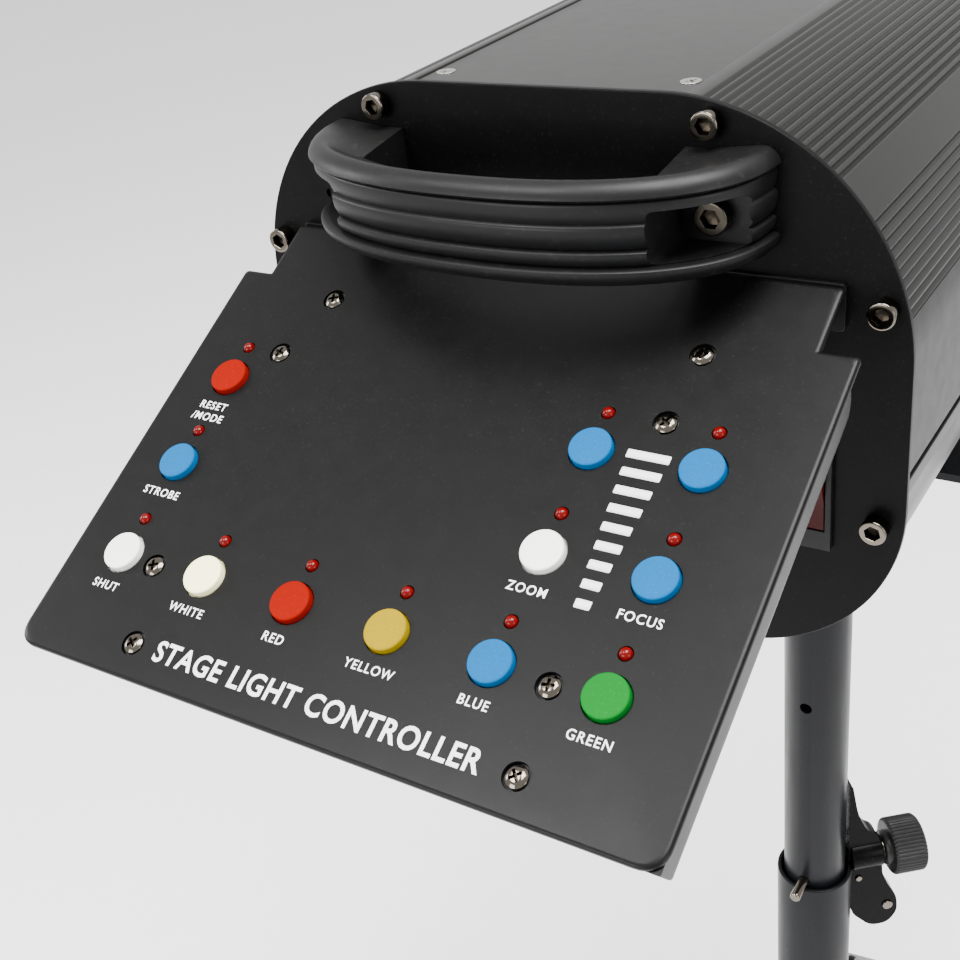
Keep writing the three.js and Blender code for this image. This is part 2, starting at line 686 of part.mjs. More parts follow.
// Lens carriage: a plate with two bushes on the rods and a lens set in its ring.
function lensCarriage(y) {
  const plate = block(-RODS.x, RODS.x, y - 3, y + 3, RODS.z - 9, RODS.z + 9);
  const ring = bar(LENSES.r + 6, [0, y - 8, 0], [0, y + 8, 0], 20);
  const bore = bar(LENSES.r, [0, y - 12, 0], [0, y + 12, 0], 20);
  const lens = turned([
    [0, y - 7], [LENSES.r * 0.6, y - 5.5], [LENSES.r + 1, y - 2],
    [LENSES.r + 1, y + 2], [LENSES.r * 0.6, y + 5.5], [0, y + 7],
  ], "y", 20);
  const bushes = [-1, 1].map((side) =>
    bar(9, [side * RODS.x, y - 12, RODS.z], [side * RODS.x, y + 12, RODS.z], 14));
  const rods = [-1, 1].map((side) =>
    bar(RODS.r + GAP, [side * RODS.x, y - 20, RODS.z], [side * RODS.x, y + 20, RODS.z], 12));
  const body = cut(union([plate, ring]), [bore]);
  return cut(union([body, ...bushes, lens]), rods);
}

// Colour wheel: one clear and several filter apertures round its rim.
function colourWheel() {
  const reach = Math.hypot(WHEEL.x, WHEEL.z);
  const home = Math.atan2(-WHEEL.z, -WHEEL.x); // one aperture stands on the beam
  const shape = shapeOf(circlePoints(WHEEL.x, WHEEL.z, WHEEL.r, 36));
  for (let i = 0; i < WHEEL.count; i += 1) {
    const angle = home + (2 * Math.PI * i) / WHEEL.count;
    const x = WHEEL.x + reach * Math.cos(angle);
    const z = WHEEL.z + reach * Math.sin(angle);
    shape.holes.push(circleHole(x, z, WHEEL.aperture, 12));
  }
  const disc = alongY(shape, WHEEL.y, WHEEL.y + WHEEL.t, 20);
  const hub = bar(9, [WHEEL.x, WHEEL.y - 4, WHEEL.z], [WHEEL.x, WHEEL.y + 4, WHEEL.z], 20);
  const bore = bar(2.5 + GAP, [WHEEL.x, WHEEL.y - 9, WHEEL.z], [WHEEL.x, WHEEL.y + 9, WHEEL.z], 16);
  return disc.add(hub).subtract(bore);
}

function wheelMotor() {
  const { x, y, z } = WHEEL;
  const can = block(x - 19, x + 19, y + 8, y + 40 - GAP, z - 19, z + 19);
  return can.add(bar(2.5, [x, y - 6, z], [x, y + 10, z], 16));
}

// Light engine: finned heat sink with the lamp board and its collimator on the front.
function ledEngine() {
  const { back, base, front, halfX, halfZ } = ENGINE;
  const fins = 15;
  const points = [[halfX, front], [-halfX, front], [-halfX, back]];
  const pitch = (2 * halfX) / fins;
  for (let i = 0; i < fins; i += 1) {
    const x = -halfX + i * pitch;
    points.push([x + 2.5, back], [x + 2.5, base]);
    if (i < fins - 1) points.push([x + pitch, base], [x + pitch, back]);
  }
  points.push([halfX, base]);
  const sink = alongZ(shapeOf(points), -halfZ, halfZ);
  const lampBoard = block(-32, 32, front - 1, front + 4, -32, 32);
  const collimator = turned([[0, front + 3], [16, front + 3], [28, front + 40], [0, front + 40]], "y", 32);
  const feet = block(-halfX, halfX, base, front, CHASSIS_Z + WALL + GAP, -halfZ + 1);
  return union([sink, lampBoard, collimator, feet]);
}

function fanFrame() {
  const { y0, y1, half, bore } = FAN;
  const frame = block(-half, half, y0, y1, -half, half);
  const hole = bar(bore, [0, y0 - 5, 0], [0, y1 + 5, 0], 32);
  const motor = bar(19, [0, y0, 0], [0, y0 + 4, 0]);
  const spokes = [0, 120, 240].map((angle) =>
    block(-2.5, 2.5, y0, y0 + 4, 0, bore + 1).rotate([0, angle, 0]));
  const axle = bar(2, [0, y0 + 3, 0], [0, y1 - 6, 0], 10);
  return union([frame.subtract(hole), motor, ...spokes, axle]);
}

function fanRotor() {
  const { y0, y1, bore } = FAN;
  const hub = bar(19, [0, y0 + 5, 0], [0, y1 - 1, 0]);
  const blades = Array.from({ length: 7 }, (_, i) => {
    const blade = new THREE.BoxGeometry(24, 2, bore - 18).rotateZ(35 * DEG);
    blade.translate(0, (y0 + y1) / 2 + 1, 16 + (bore - 18) / 2);
    return solid(blade.rotateY((2 * Math.PI * i) / 7));
  });
  const axleHole = bar(2 + GAP, [0, y0, 0], [0, y1 - 5, 0], 12);
  return union([hub, ...blades]).subtract(axleHole);
}

// Power supply: a slim sheet case, open at its cable end.
function powerSupply() {
  const low = -101.5;
  const high = CHASSIS_Z - GAP;
  const wall = 2.5;
  const shell = block(-56, 56, -45, 145, low, high);
  const room = block(-56 + wall, 56 - wall, -60, 145 - wall, low + wall, high - wall);
  return shell.subtract(room);
}

function addInside(head) {
  place(head, "chassis", chassis(), FINISH.aluminium);
  place(head, "guide_rod_left", guideRod(-1), FINISH.nickel);
  place(head, "guide_rod_right", guideRod(1), FINISH.nickel);
  place(head, "zoom_carriage", lensCarriage(LENSES.zoom), FINISH.aluminium);
  place(head, "focus_carriage", lensCarriage(LENSES.focus), FINISH.aluminium);
  place(head, "colour_wheel", colourWheel(), FINISH.aluminium);
  place(head, "wheel_motor", wheelMotor(), FINISH.steelBlack);
  place(head, "led_engine", ledEngine(), FINISH.aluminium);
  place(head, "fan_frame", fanFrame(), FINISH.moulded);
  place(head, "fan_rotor", fanRotor(), FINISH.moulded);
  place(head, "power_supply", powerSupply(), FINISH.aluminium);
}

// ---------------------------------------------------------------- yoke
// U-shaped strap: outline in the X-Z plane, extruded to the strap's width.
function yokeOutline(x, low, bend) {
  const shape = new THREE.Shape();
  shape.moveTo(x, YOKE.width / 2);
  shape.lineTo(x, low + bend);
  shape.absarc(x - bend, low + bend, bend, 0, -90 * DEG, true);
  shape.lineTo(-x + bend, low);
  shape.absarc(-x + bend, low + bend, bend, -90 * DEG, -180 * DEG, true);
  shape.lineTo(-x, YOKE.width / 2);
  return shape;
}

function yokeBracket() {
  const half = YOKE.width / 2;
  const outer = alongY(yokeOutline(YOKE.inside + YOKE.t, YOKE.barLow, YOKE.bend), -half, half, 5);
  const inner = alongY(
    yokeOutline(YOKE.inside, YOKE.barLow + YOKE.t, YOKE.bend - YOKE.t), -half - 5, half + 5, 5,
  );
  const strap = outer.subtract(inner.add(block(-YOKE.inside, YOKE.inside, -half - 5, half + 5, 0, half + 5)));
  const reach = YOKE.inside + YOKE.t + 10;
  const roundEnd = bar(half, [-reach, 0, 0], [reach, 0, 0], 24)
    .add(block(-reach, reach, -half - 5, half + 5, YOKE.barLow - 5, 0));
  const pivot = bar(BOLT_R + 0.5, [-reach, 0, 0], [reach, 0, 0]);
  const bolt = bar(6.5, [0, 0, YOKE.barLow - 5], [0, 0, YOKE.barLow + 15]);
  return cut(strap.intersect(roundEnd), [pivot, bolt]);
}

// Spigot under the yoke: flange, shank in the mast's collar, and the bolt through the strap.
function yokeSpigot() {
  const bar0 = YOKE.barLow;
  const flangeLow = COLLAR.high - TILT_Z + 0.4;
  const shank = turned([
    [0, flangeLow - 75], [SPIGOT_R - 1, flangeLow - 75], [SPIGOT_R, flangeLow - 73],
    [SPIGOT_R, flangeLow], [26, flangeLow], [26, bar0 - GAP], [6, bar0 - GAP],
    [6, bar0 + YOKE.t + GAP], [0, bar0 + YOKE.t + GAP],
  ], "z", 32);
  const boltHead = bar(10, [0, 0, bar0 + YOKE.t + GAP], [0, 0, bar0 + YOKE.t + 8], 6);
  return shank.add(boltHead);
}

// Round grip with finger lobes, on a screw that runs along +X from the origin.
function lobedKnob(radius, thickness, lobes, shankFrom, shankRadius) {
  const count = lobes * 4;
  const points = Array.from({ length: count }, (_, i) => {
    const angle = (2 * Math.PI * i) / count;
    const r = radius * (0.955 + 0.045 * Math.cos(lobes * angle));
    return [r * Math.cos(angle), r * Math.sin(angle)];
  });
  const grip = alongX(shapeOf(points), 0, thickness);
  const neck = bar(radius * 0.45, [-4, 0, 0], [1, 0, 0], 20);
  return union([grip, neck, bar(shankRadius, [shankFrom, 0, 0], [1, 0, 0], 16)]);
}

function addYoke(head) {
  const armFace = YOKE.inside + YOKE.t;
  place(head, "yoke_bracket", yokeBracket(), FINISH.steelBlack);
  place(head, "yoke_spigot", yokeSpigot(), FINISH.steelBlack);
  const knob = geometryOf(lobedKnob(25, 20, 8, -20, BOLT_R));
  const right = place(head, "tilt_knob_right", knob, FINISH.moulded);
  right.position.x = armFace + 4 + GAP;
  const left = place(head, "tilt_knob_left", knob, FINISH.moulded);
  left.position.x = -armFace - 4 - GAP;
  left.rotation.z = Math.PI;
}

// ---------------------------------------------------------------- mast
const PIN_Z = RIM_Z + GAP + PIN_R;

function mastInner() {
  const bore = INNER_R - TUBE_WALL;
  const seat = SPIGOT_R + GAP;
  const tube = turned([
    [bore, 235], [INNER_R, 235], [INNER_R, COLLAR.low], [COLLAR.r, COLLAR.low + 5],
    [COLLAR.r, COLLAR.high], [seat, COLLAR.high], [seat, COLLAR.low], [bore, COLLAR.low - 8],
  ], "z", 24, true);
  const pinHoles = [-2, -1, 0, 1].map((i) => {
    const z = PIN_Z + i * PIN_PITCH;
    return bar(PIN_R + GAP, [0, -40, z], [0, 40, z], 10);
  });
  const clampScrew = bar(PIN_R + GAP, [-40, 0, COLLAR.low + 22], [0, 0, COLLAR.low + 22], 10);
  return cut(tube, [...pinHoles, clampScrew]);
}

// Outer tube with its guide bush and end cap, and the welded bracket that carries the mast knob.
function mastOuter() {
  const bore = OUTER_R - 3;
  const bush = INNER_R + GAP;
  const tube = turned([
    [0, 20], [OUTER_R, 20], [OUTER_R, RIM_Z - 1.5], [OUTER_R - 1.5, RIM_Z], [bore, RIM_Z],
    [bore, RIM_Z - 14], [bush, RIM_Z - 16], [bush, RIM_Z - 70], [bore, RIM_Z - 72],
    [bore, 24], [0, 24],
  ], "z", 24);
  const lobe = shapeOf([
    [25.5, 640], [30, 628], [44, 612], [58, 612], [66, 624], [65, 640], [57, 655], [52, 668],
    [50, 700], [46, 712], [38, 718], [31, 735], [26.5, 764], [24, 766], [24, RIM_Z + 2], [25.5, RIM_Z - 1],
  ]);
  const web = extruded(lobe, 12);
  web.translate(0, 0, -6).rotateX(Math.PI / 2);
  const boss = bar(13, [25, 0, CLAMP_Z], [51, 0, CLAMP_Z]);
  const thread = bar(PIN_R + GAP, [20, 0, CLAMP_Z], [60, 0, CLAMP_Z], 16);
  const bracket = solid(web).add(boss).rotate([0, 0, CLAMP_ANGLE]);
  return union([tube, bracket.subtract(bar(INNER_R + 0.8, [0, 0, RIM_Z + 1], [0, 0, 800], 24))])
    .subtract(thread.rotate([0, 0, CLAMP_ANGLE]));
}

function lockPin() {
  const points = [[0, -31], [3, -31], [PIN_R, -29.5], [PIN_R, 40.5], [3, 42], [0, 42]];
  return turned(points, "y", 16);
}

function addMast(object) {
  place(object, "mast_inner", mastInner(), FINISH.steelBlack);
  place(object, "mast_outer", mastOuter(), FINISH.steelBlack);
  const pin = place(object, "lock_pin", lockPin(), FINISH.nickel);
  pin.position.z = PIN_Z;
  pin.rotation.z = Math.PI;
  const knob = lobedKnob(MAST_KNOB.r, MAST_KNOB.t, 18, -MAST_KNOB.shank, PIN_R);
  const mastKnob = place(object, "mast_knob", knob, FINISH.moulded);
  const angle = CLAMP_ANGLE * DEG;
  mastKnob.position.set(MAST_KNOB.from * Math.cos(angle), MAST_KNOB.from * Math.sin(angle), CLAMP_Z);
  mastKnob.rotation.z = angle;
  const panKnob = place(object, "pan_knob", lobedKnob(18, 16, 6, -25, PIN_R), FINISH.moulded);
  panKnob.position.set(-COLLAR.r - 12, 0, COLLAR.low + 22);
  panKnob.rotation.z = Math.PI;
}

// ---------------------------------------------------------------- tripod
const LUG = { in: 13, out: 18 };

// Everything in a leg's own plane: X outwards from the mast, Y across, Z up.
const LEG_SIN = Math.sin(LEG_ANGLE * DEG);
const LEG_COS = Math.cos(LEG_ANGLE * DEG);
const onLeg = (s) => [LEG_PIVOT.r + s * LEG_SIN, 0, LEG_PIVOT.z - s * LEG_COS];
const KNEE = onLeg(STRUT);
const LOWER_PIVOT_Z = LEG_PIVOT.z - 2 * STRUT * LEG_COS;
const LEG_LENGTH = (LEG_PIVOT.z - FOOT.h / 2) / LEG_COS;

const across = (radius, [x, , z], y0, y1, segments = 16) => bar(radius, [x, y0, z], [x, y1, z], segments);

// A solid built for one leg, repeated round the mast.
const aroundMast = (manifold) => LEG_DIRECTIONS.map((angle) => manifold.rotate([0, 0, angle]));

function legHub() {
  const { r, z } = LEG_PIVOT;
  const ring = turned([[OUTER_R + GAP, z - 20], [34, z - 20], [34, z + 26], [OUTER_R + GAP, z + 26]], "z", 24, true);
  const pivot = [r, 0, z];
  const lugs = [-1, 1].map((side) => {
    const inner = Math.min(side * LUG.in, side * LUG.out);
    const plate = block(29, r, inner, inner + 5, z - 13, z + 13);
    return plate.add(across(13, pivot, inner, inner + 5, 14));
  });
  const pin = across(4, pivot, -LUG.out - 2, LUG.out + 2, 12);
  const clear = bar(OUTER_R + GAP, [0, 0, z - 30], [0, 0, z + 40], 24);
  return cut(union([ring, ...aroundMast(union([...lugs, pin]))]), [clear]);
}

function leg() {
  const eye = across(9, onLeg(0), -12, 12, 12);
  const shank = bar(9, onLeg(0), onLeg(40), 12);
  const tube = bar(LEG_R, onLeg(28), onLeg(LEG_LENGTH), 16);
  const foot = onLeg(LEG_LENGTH);
  const pad = turned([[0, 0], [FOOT.r, 0], [FOOT.r, FOOT.h - 5], [FOOT.r - 4, FOOT.h], [0, FOOT.h]], "z", 18);
  const holes = [
    across(4 + GAP, onLeg(0), -30, 30, 12),
    across(4 + GAP, KNEE, -30, 30, 12),
    bar(LEG_R - 1.5, onLeg(45), onLeg(LEG_LENGTH - 25), 12),
    block(foot[0] - 60, foot[0] + 60, -40, 40, -60, 0),
  ];
  return cut(union([eye, shank, tube, pad.translate([foot[0], 0, 0])]), holes);
}

// Two flat bars either side of the leg, joined by the knee pin.
function strut() {
  const low = [LEG_PIVOT.r, 0, LOWER_PIVOT_Z];
  const middle = [(KNEE[0] + low[0]) / 2, (KNEE[2] + low[2]) / 2];
  const bars = [-1, 1].map((side) => {
    const inner = side > 0 ? LUG.in : -LUG.in - 4;
    const strip = new THREE.BoxGeometry(20, 4, STRUT).rotateY(LEG_ANGLE * DEG);
    strip.translate(middle[0], inner + 2, middle[1]);
    const ends = [KNEE, low].map((point) => across(10, point, inner, inner + 4, 12));
    return union([solid(strip), ...ends]);
  });
  return union([...bars, across(4, KNEE, -LUG.in - 7, LUG.in + 7, 12)]);
}

// Sliding hub: its lugs stand between each strut's bars, with clearance for the fold.
function spreaderHub() {
  const z = LOWER_PIVOT_Z;
  const bore = OUTER_R + 0.6;
  const ring = turned([[bore, z - 15], [34, z - 15], [34, z + 15], [bore, z + 15]], "z", 24, true);
  const lug = block(30, LEG_PIVOT.r, -8, 8, z - 9, z + 9).add(across(9, [LEG_PIVOT.r, 0, z], -8, 8, 14));
  const stub = across(4, [LEG_PIVOT.r, 0, z], -LUG.in + 0.5, LUG.in - 0.5, 10);
  return union([ring, ...aroundMast(lug.add(stub))]);
}

function addTripod(object) {
  place(object, "leg_hub", legHub(), FINISH.steelBlack);
  place(object, "spreader_hub", spreaderHub(), FINISH.steelBlack);
  const legShape = geometryOf(leg());
  const strutShape = geometryOf(strut());
  LEG_DIRECTIONS.forEach((angle, i) => {
    place(object, "leg_" + (i + 1), legShape, FINISH.steelBlack).rotation.z = angle * DEG;
    place(object, "strut_" + (i + 1), strutShape, FINISH.steelBlack).rotation.z = angle * DEG;
  });
}

// ---------------------------------------------------------------- assembly
const followSpot = new THREE.Group();
const headGroup = new THREE.Group();
headGroup.position.z = TILT_Z;
followSpot.add(headGroup);
addHousing(headGroup);
place(headGroup, "rear_handle", rearHandle(), FINISH.moulded);
addControls(headGroup);
addSockets(headGroup);
addBarrel(headGroup);
addInside(headGroup);
addYoke(headGroup);
addMast(followSpot);
addTripod(followSpot);

export default followSpot;
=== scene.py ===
"""Looks of a follow spot, built round its CAD frame. Lengths are millimetres until a matrix scales them."""
import json
import math

import bmesh
import bpy
from mathutils import Matrix, Vector


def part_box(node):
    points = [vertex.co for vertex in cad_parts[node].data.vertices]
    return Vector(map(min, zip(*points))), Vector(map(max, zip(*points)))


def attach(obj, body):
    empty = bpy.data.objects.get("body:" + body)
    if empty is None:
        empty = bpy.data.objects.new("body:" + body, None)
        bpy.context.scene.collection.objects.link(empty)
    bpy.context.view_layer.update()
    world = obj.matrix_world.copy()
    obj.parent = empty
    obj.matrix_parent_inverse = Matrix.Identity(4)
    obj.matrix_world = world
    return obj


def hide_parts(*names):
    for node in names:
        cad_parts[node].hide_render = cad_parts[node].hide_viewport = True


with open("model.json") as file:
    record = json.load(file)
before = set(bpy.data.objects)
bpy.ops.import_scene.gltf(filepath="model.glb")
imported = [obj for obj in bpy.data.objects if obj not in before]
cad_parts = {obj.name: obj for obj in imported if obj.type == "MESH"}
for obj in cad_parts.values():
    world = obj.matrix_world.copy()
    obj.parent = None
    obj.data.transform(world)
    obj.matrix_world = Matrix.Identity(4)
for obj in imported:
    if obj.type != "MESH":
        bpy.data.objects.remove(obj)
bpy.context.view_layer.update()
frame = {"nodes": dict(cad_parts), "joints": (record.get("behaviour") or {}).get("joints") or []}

JOINTS = {joint["name"]: joint for joint in frame["joints"]}
MM = Matrix.Scale(0.001, 4)

# ------------------------------------------------------------------ places, from the frame
TILT_Z = JOINTS["head_tilt"]["pos_m"][2] * 1000
HEAD = MM @ Matrix.Translation((0, 0, TILT_Z))
STAND = MM


def box_mm(node):
    low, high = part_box(node)
    return low * 1000, high * 1000


PLATE = 3.0
GAP = 0.3
BODY_Y0 = box_mm("upper_profile_right")[0].y
BODY_Y1 = box_mm("upper_profile_right")[1].y
REAR_Y = BODY_Y0 - (PLATE + GAP)
FRONT_Y = BODY_Y1 + (PLATE + GAP)
NOSE_Y = box_mm("lens_bezel")[1].y
# Corner arcs of the end plates, from the tilt axis: centre X, centre Z, radius.
TOP_ARC = (49, 22, 90)
LOW_ARC = (64, -35, 75)
# The panel's own frame: X across, Y up the slope, Z out of its face, centred on the lowest row of buttons.
PANEL_TILT = math.radians(28)
PANEL_ORIGIN = (0, REAR_Y - 144.6, -23.55)
PANEL = HEAD @ Matrix.Translation(PANEL_ORIGIN) @ Matrix.Rotation(PANEL_TILT, 4, "X")

# Buttons: node, column, row, finish, label below the cap.
BUTTONS = [
    ("button_reset", 0, 2, "cap_red", "RESET"),
    ("button_strobe", 0, 1, "cap_blue", "STROBE"),
    ("button_shut", 0, 0, "cap_white", "SHUT"),
    ("button_white", 1, 0, "cap_cream", "WHITE"),
    ("button_red", 2, 0, "cap_red", "RED"),
    ("button_yellow", 3, 0, "cap_yellow", "YELLOW"),
    ("button_blue", 4, 0, "cap_blue", "BLUE"),
    ("button_green", 5, 0, "cap_green", "GREEN"),
    ("button_zoom", 4, 1, "cap_white", "ZOOM"),
    ("button_focus", 5, 1, "cap_blue", "FOCUS"),
    ("button_zoom_step", 4, 2, "cap_blue", ""),
    ("button_focus_step", 5, 2, "cap_blue", ""),
]
BUTTON_X0 = -104.8
BUTTON_PITCH = 40
BUTTON_ROWS = (0, 40.4, 80.8)
BUTTON_R = 7.6
LED_OFFSET = 15
LABEL_DROP = 11.8
PANEL_SCREWS = [(u, v) for u in (-78.5, 78.5) for v in (124.5, -30.6)]
BOARD_SCREWS = [(u, v) for u in (-88.7, 76.3) for v in (96, -1.5)]
COVER_SCREW_X = (-55.5, 48.5)
COVER_SCREW_INSET = 28
PLATE_SCREWS = [(s * x, z) for x, z in ((68, 103), (129, 43), (129, -42), (68, -101)) for s in (1, -1)]


def button_place(column, row):
    return BUTTON_X0 + column * BUTTON_PITCH, BUTTON_ROWS[row]


# ------------------------------------------------------------------ materials
def node_of(tree, kind, **inputs):
    node = tree.nodes.new(kind)
    for key, value in inputs.items():
        node.inputs[key.replace("_", " ")].default_value = value
    return node


def noise(tree, coords, size_mm, detail=3.0, stretch=(1, 1, 1)):
    """Noise whose grain is about size_mm across, stretched along an axis where asked."""
    mapping = tree.nodes.new("ShaderNodeMapping")
    mapping.inputs["Scale"].default_value = stretch
    tree.links.new(coords, mapping.inputs["Vector"])
    texture = node_of(tree, "ShaderNodeTexNoise", Scale=1000 / size_mm, Detail=detail, Roughness=0.55)
    tree.links.new(mapping.outputs["Vector"], texture.inputs["Vector"])
    return texture.outputs["Fac"]


def ranged(tree, value, low, high, start=0.3, end=0.7):
    node = tree.nodes.new("ShaderNodeMapRange")
    for key, number in (("From Min", start), ("From Max", end), ("To Min", low), ("To Max", high)):
        node.inputs[key].default_value = number
    tree.links.new(value, node.inputs["Value"])
    return node.outputs["Result"]


def finish(name, colour, rough, metal=0.0, grain=0.6, bump=0.02, blotch=0.12, rough_span=0.08,
           stretch=(1, 1, 1), spec=0.5, **extra):
    """A surface with fine grain in its relief, slow changes of tone and uneven roughness."""
    mat = bpy.data.materials.new(name)
    mat.use_nodes = True
    tree = mat.node_tree
    shader = tree.nodes["Principled BSDF"]
    coords = tree.nodes.new("ShaderNodeTexCoord").outputs["Object"]
    tone = ranged(tree, noise(tree, coords, 38, 4), 0.0, 1.0)
    mix = tree.nodes.new("ShaderNodeMix")
    mix.data_type = "RGBA"
    mix.inputs["A"].default_value = (*[c * (1 - blotch) for c in colour], 1)
    mix.inputs["B"].default_value = (*[min(1, c * (1 + blotch)) for c in colour], 1)
    tree.links.new(tone, mix.inputs["Factor"])
    speck = ranged(tree, noise(tree, coords, grain * 2.5, 2), 0.0, 1.0, 0.62, 0.72)
    fleck = tree.nodes.new("ShaderNodeMix")
    fleck.data_type = "RGBA"
    fleck.inputs["B"].default_value = (*[min(1, c * 1.25 + 0.004) for c in colour], 1)
    tree.links.new(mix.outputs["Result"], fleck.inputs["A"])
    tree.links.new(speck, fleck.inputs["Factor"])
    tree.links.new(fleck.outputs["Result"], shader.inputs["Base Color"])
    smear = noise(tree, coords, 9, 5, stretch)
    tree.links.new(ranged(tree, smear, rough - rough_span, rough + rough_span), shader.inputs["Roughness"])
    relief = node_of(tree, "ShaderNodeBump", Strength=1.0, Distance=bump * 0.001)
    tree.links.new(noise(tree, coords, grain, 3, stretch), relief.inputs["Height"])
    tree.links.new(relief.outputs["Normal"], shader.inputs["Normal"])
    shader.inputs["Metallic"].default_value = metal
    shader.inputs["Specular IOR Level"].default_value = spec
    for key, value in extra.items():
        shader.inputs[key.replace("_", " ")].default_value = value
    return mat


def grey(value):
    return (value, value, value)


CAP = {"rough": 0.5, "grain": 0.3, "bump": 0.008, "spec": 0.02}
LOOKS = {
    "plate_coat": finish("satin_black_plate", grey(0.0022), 0.34, grain=0.45, bump=0.008, blotch=0.06,
                         rough_span=0.03, spec=0.05),
    "panel_coat": finish("satin_grey_panel", (0.002, 0.002, 0.00195), 0.36, grain=0.4, bump=0.01,
                         blotch=0.05, rough_span=0.02, spec=0.12),
    "housing_coat": finish("anodised_housing", (0.008, 0.008, 0.0076), 0.3, grain=0.35, bump=0.006,
                           blotch=0.03, rough_span=0.012, spec=0.135),
    # The housing coat again, darker and less shiny: painted shade on the side panels.
    "side_painted_shade_coat": finish("housing_side_painted_shade", (0.005, 0.005, 0.0048), 0.3, grain=0.35, bump=0.008, blotch=0.05,
                        rough_span=0.03, spec=0.06),
    "moulded_black": finish("moulded_black", grey(0.0034), 0.42, grain=0.8, bump=0.014, rough_span=0.04,
                            spec=0.16),
    "knob_black": finish("knob_black", (0.005, 0.005, 0.0052), 0.45, grain=0.5, bump=0.03, spec=0.2),
    "circuit_board": finish("circuit_board", (0.015, 0.14, 0.06), 0.45, grain=1.6, bump=0.03, blotch=0.3),
    "bare_aluminium": finish("bare_aluminium", (0.62, 0.63, 0.64), 0.32, metal=1, grain=0.3, bump=0.006,
                             blotch=0.06, stretch=(1, 0.08, 1)),
    "steel_black": finish("mast_black", (0.004, 0.0042, 0.0052), 0.33, spec=0.1, grain=0.5, bump=0.008,
                          stretch=(1, 1, 0.15)),
    # The clamp's own black, made darker still with its sheen turned down: painted shade, for a clamp that
    # stands in shadow.
    "clamp_black_painted_shade": finish("clamp_black_painted_shade", (0.0012, 0.0012, 0.0013), 0.26, grain=0.9, bump=0.01,
                          rough_span=0.05, spec=0.035),
    # Nickel kept far darker than real plating: a painted dark reflection on the screws, pins and rods. The
    # warm tint is the metal's own.
    "nickel": finish("warm_nickel", (0.115, 0.101, 0.083), 0.13, metal=1, grain=0.25, bump=0.003,
                     blotch=0.06, rough_span=0.03),
    "switch_red": finish("switch_red", (0.03, 0.0005, 0.0005), 0.3, grain=0.8, bump=0.01, spec=0.08),
    "cap_red": finish("cap_red", (0.15, 0.002, 0.0), blotch=0.04, **CAP),
    "cap_blue": finish("cap_blue", (0.0, 0.072, 0.2), blotch=0.04, **CAP),
    "cap_white": finish("cap_white", (0.78, 0.775, 0.74), 0.34, grain=0.3, bump=0.008, blotch=0.03),
    "cap_cream": finish("cap_cream", (0.94, 0.92, 0.5), 0.36, grain=0.3, bump=0.008, blotch=0.04),
    "cap_yellow": finish("cap_yellow", (0.21, 0.145, 0.0), blotch=0.04, **CAP),
    "cap_green": finish("cap_green", (0.0, 0.1, 0.011), blotch=0.05, **CAP),
    "led_red": finish("led_red", (0.085, 0.0, 0.0), 0.16, grain=2, bump=0.004, blotch=0.04, rough_span=0.03,
                      spec=0.16),
    "print_white": finish("print_white", (0.7, 0.7, 0.69), 0.55, grain=0.3, bump=0.006, blotch=0.04),
    "foot_rubber": finish("foot_rubber", grey(0.012), 0.8, grain=1.1, bump=0.08),
    # Dark metal for screw recesses: painted shade where the recess is hidden from light.
    "recess_painted_shade": finish("recess_painted_shade", (0.03, 0.024, 0.018), 0.35, metal=1, grain=0.4, bump=0.01),
    "bright_zinc": finish("bright_zinc", (0.42, 0.4, 0.36), 0.26, metal=1, grain=0.25, bump=0.004,
                          blotch=0.06),
    # Steel of the handle bolts, darkened as painted shade for bolts sunk deep in their pockets.
    "bolt_steel_painted_shade": finish("bolt_steel_painted_shade", (0.05, 0.044, 0.036), 0.26, metal=1, grain=0.3, bump=0.008,
                         blotch=0.12),
    "thread_steel": finish("thread_steel", (0.3, 0.28, 0.25), 0.3, metal=1, grain=0.4, bump=0.02),
    # Near-black for the stand-offs under the panel screws: painted shade in the rings round the screw heads.
    "standoff_painted_shade": finish("standoff_painted_shade", grey(0.004), 0.6, grain=0.7, bump=0.02),
    "lens_glass": finish("lens_glass", (0.93, 0.97, 1.0), 0.03, grain=6, bump=0.001, blotch=0.0,
                         rough_span=0.02, Transmission_Weight=1.0, IOR=1.5),
}


# ------------------------------------------------------------------ mesh helpers
def to_mesh(name, verts, faces, matrix):
    mesh = bpy.data.meshes.new(name)
    mesh.from_pydata([matrix @ Vector(v) for v in verts], [], faces)
    bm = bmesh.new()
    bm.from_mesh(mesh)
    bmesh.ops.remove_doubles(bm, verts=bm.verts, dist=1e-7)
    bmesh.ops.recalc_face_normals(bm, faces=bm.faces)
    bm.to_mesh(mesh)
    bm.free()
    mesh.shade_smooth()
    return mesh


def loft(name, rings, matrix, closed=False, caps=False):
    """Skins a row of rings that all have the same number of points."""
    count = len(rings[0])
    verts = [point for ring in rings for point in ring]
    faces = []
    for i in range(len(rings) if closed else len(rings) - 1):
        a, b = i * count, ((i + 1) % len(rings)) * count
        faces += [(a + k, a + (k + 1) % count, b + (k + 1) % count, b + k) for k in range(count)]
    if caps:
        faces += [tuple(range(count)), tuple(range((len(rings) - 1) * count, len(rings) * count))]
    return to_mesh(name, verts, faces, matrix)


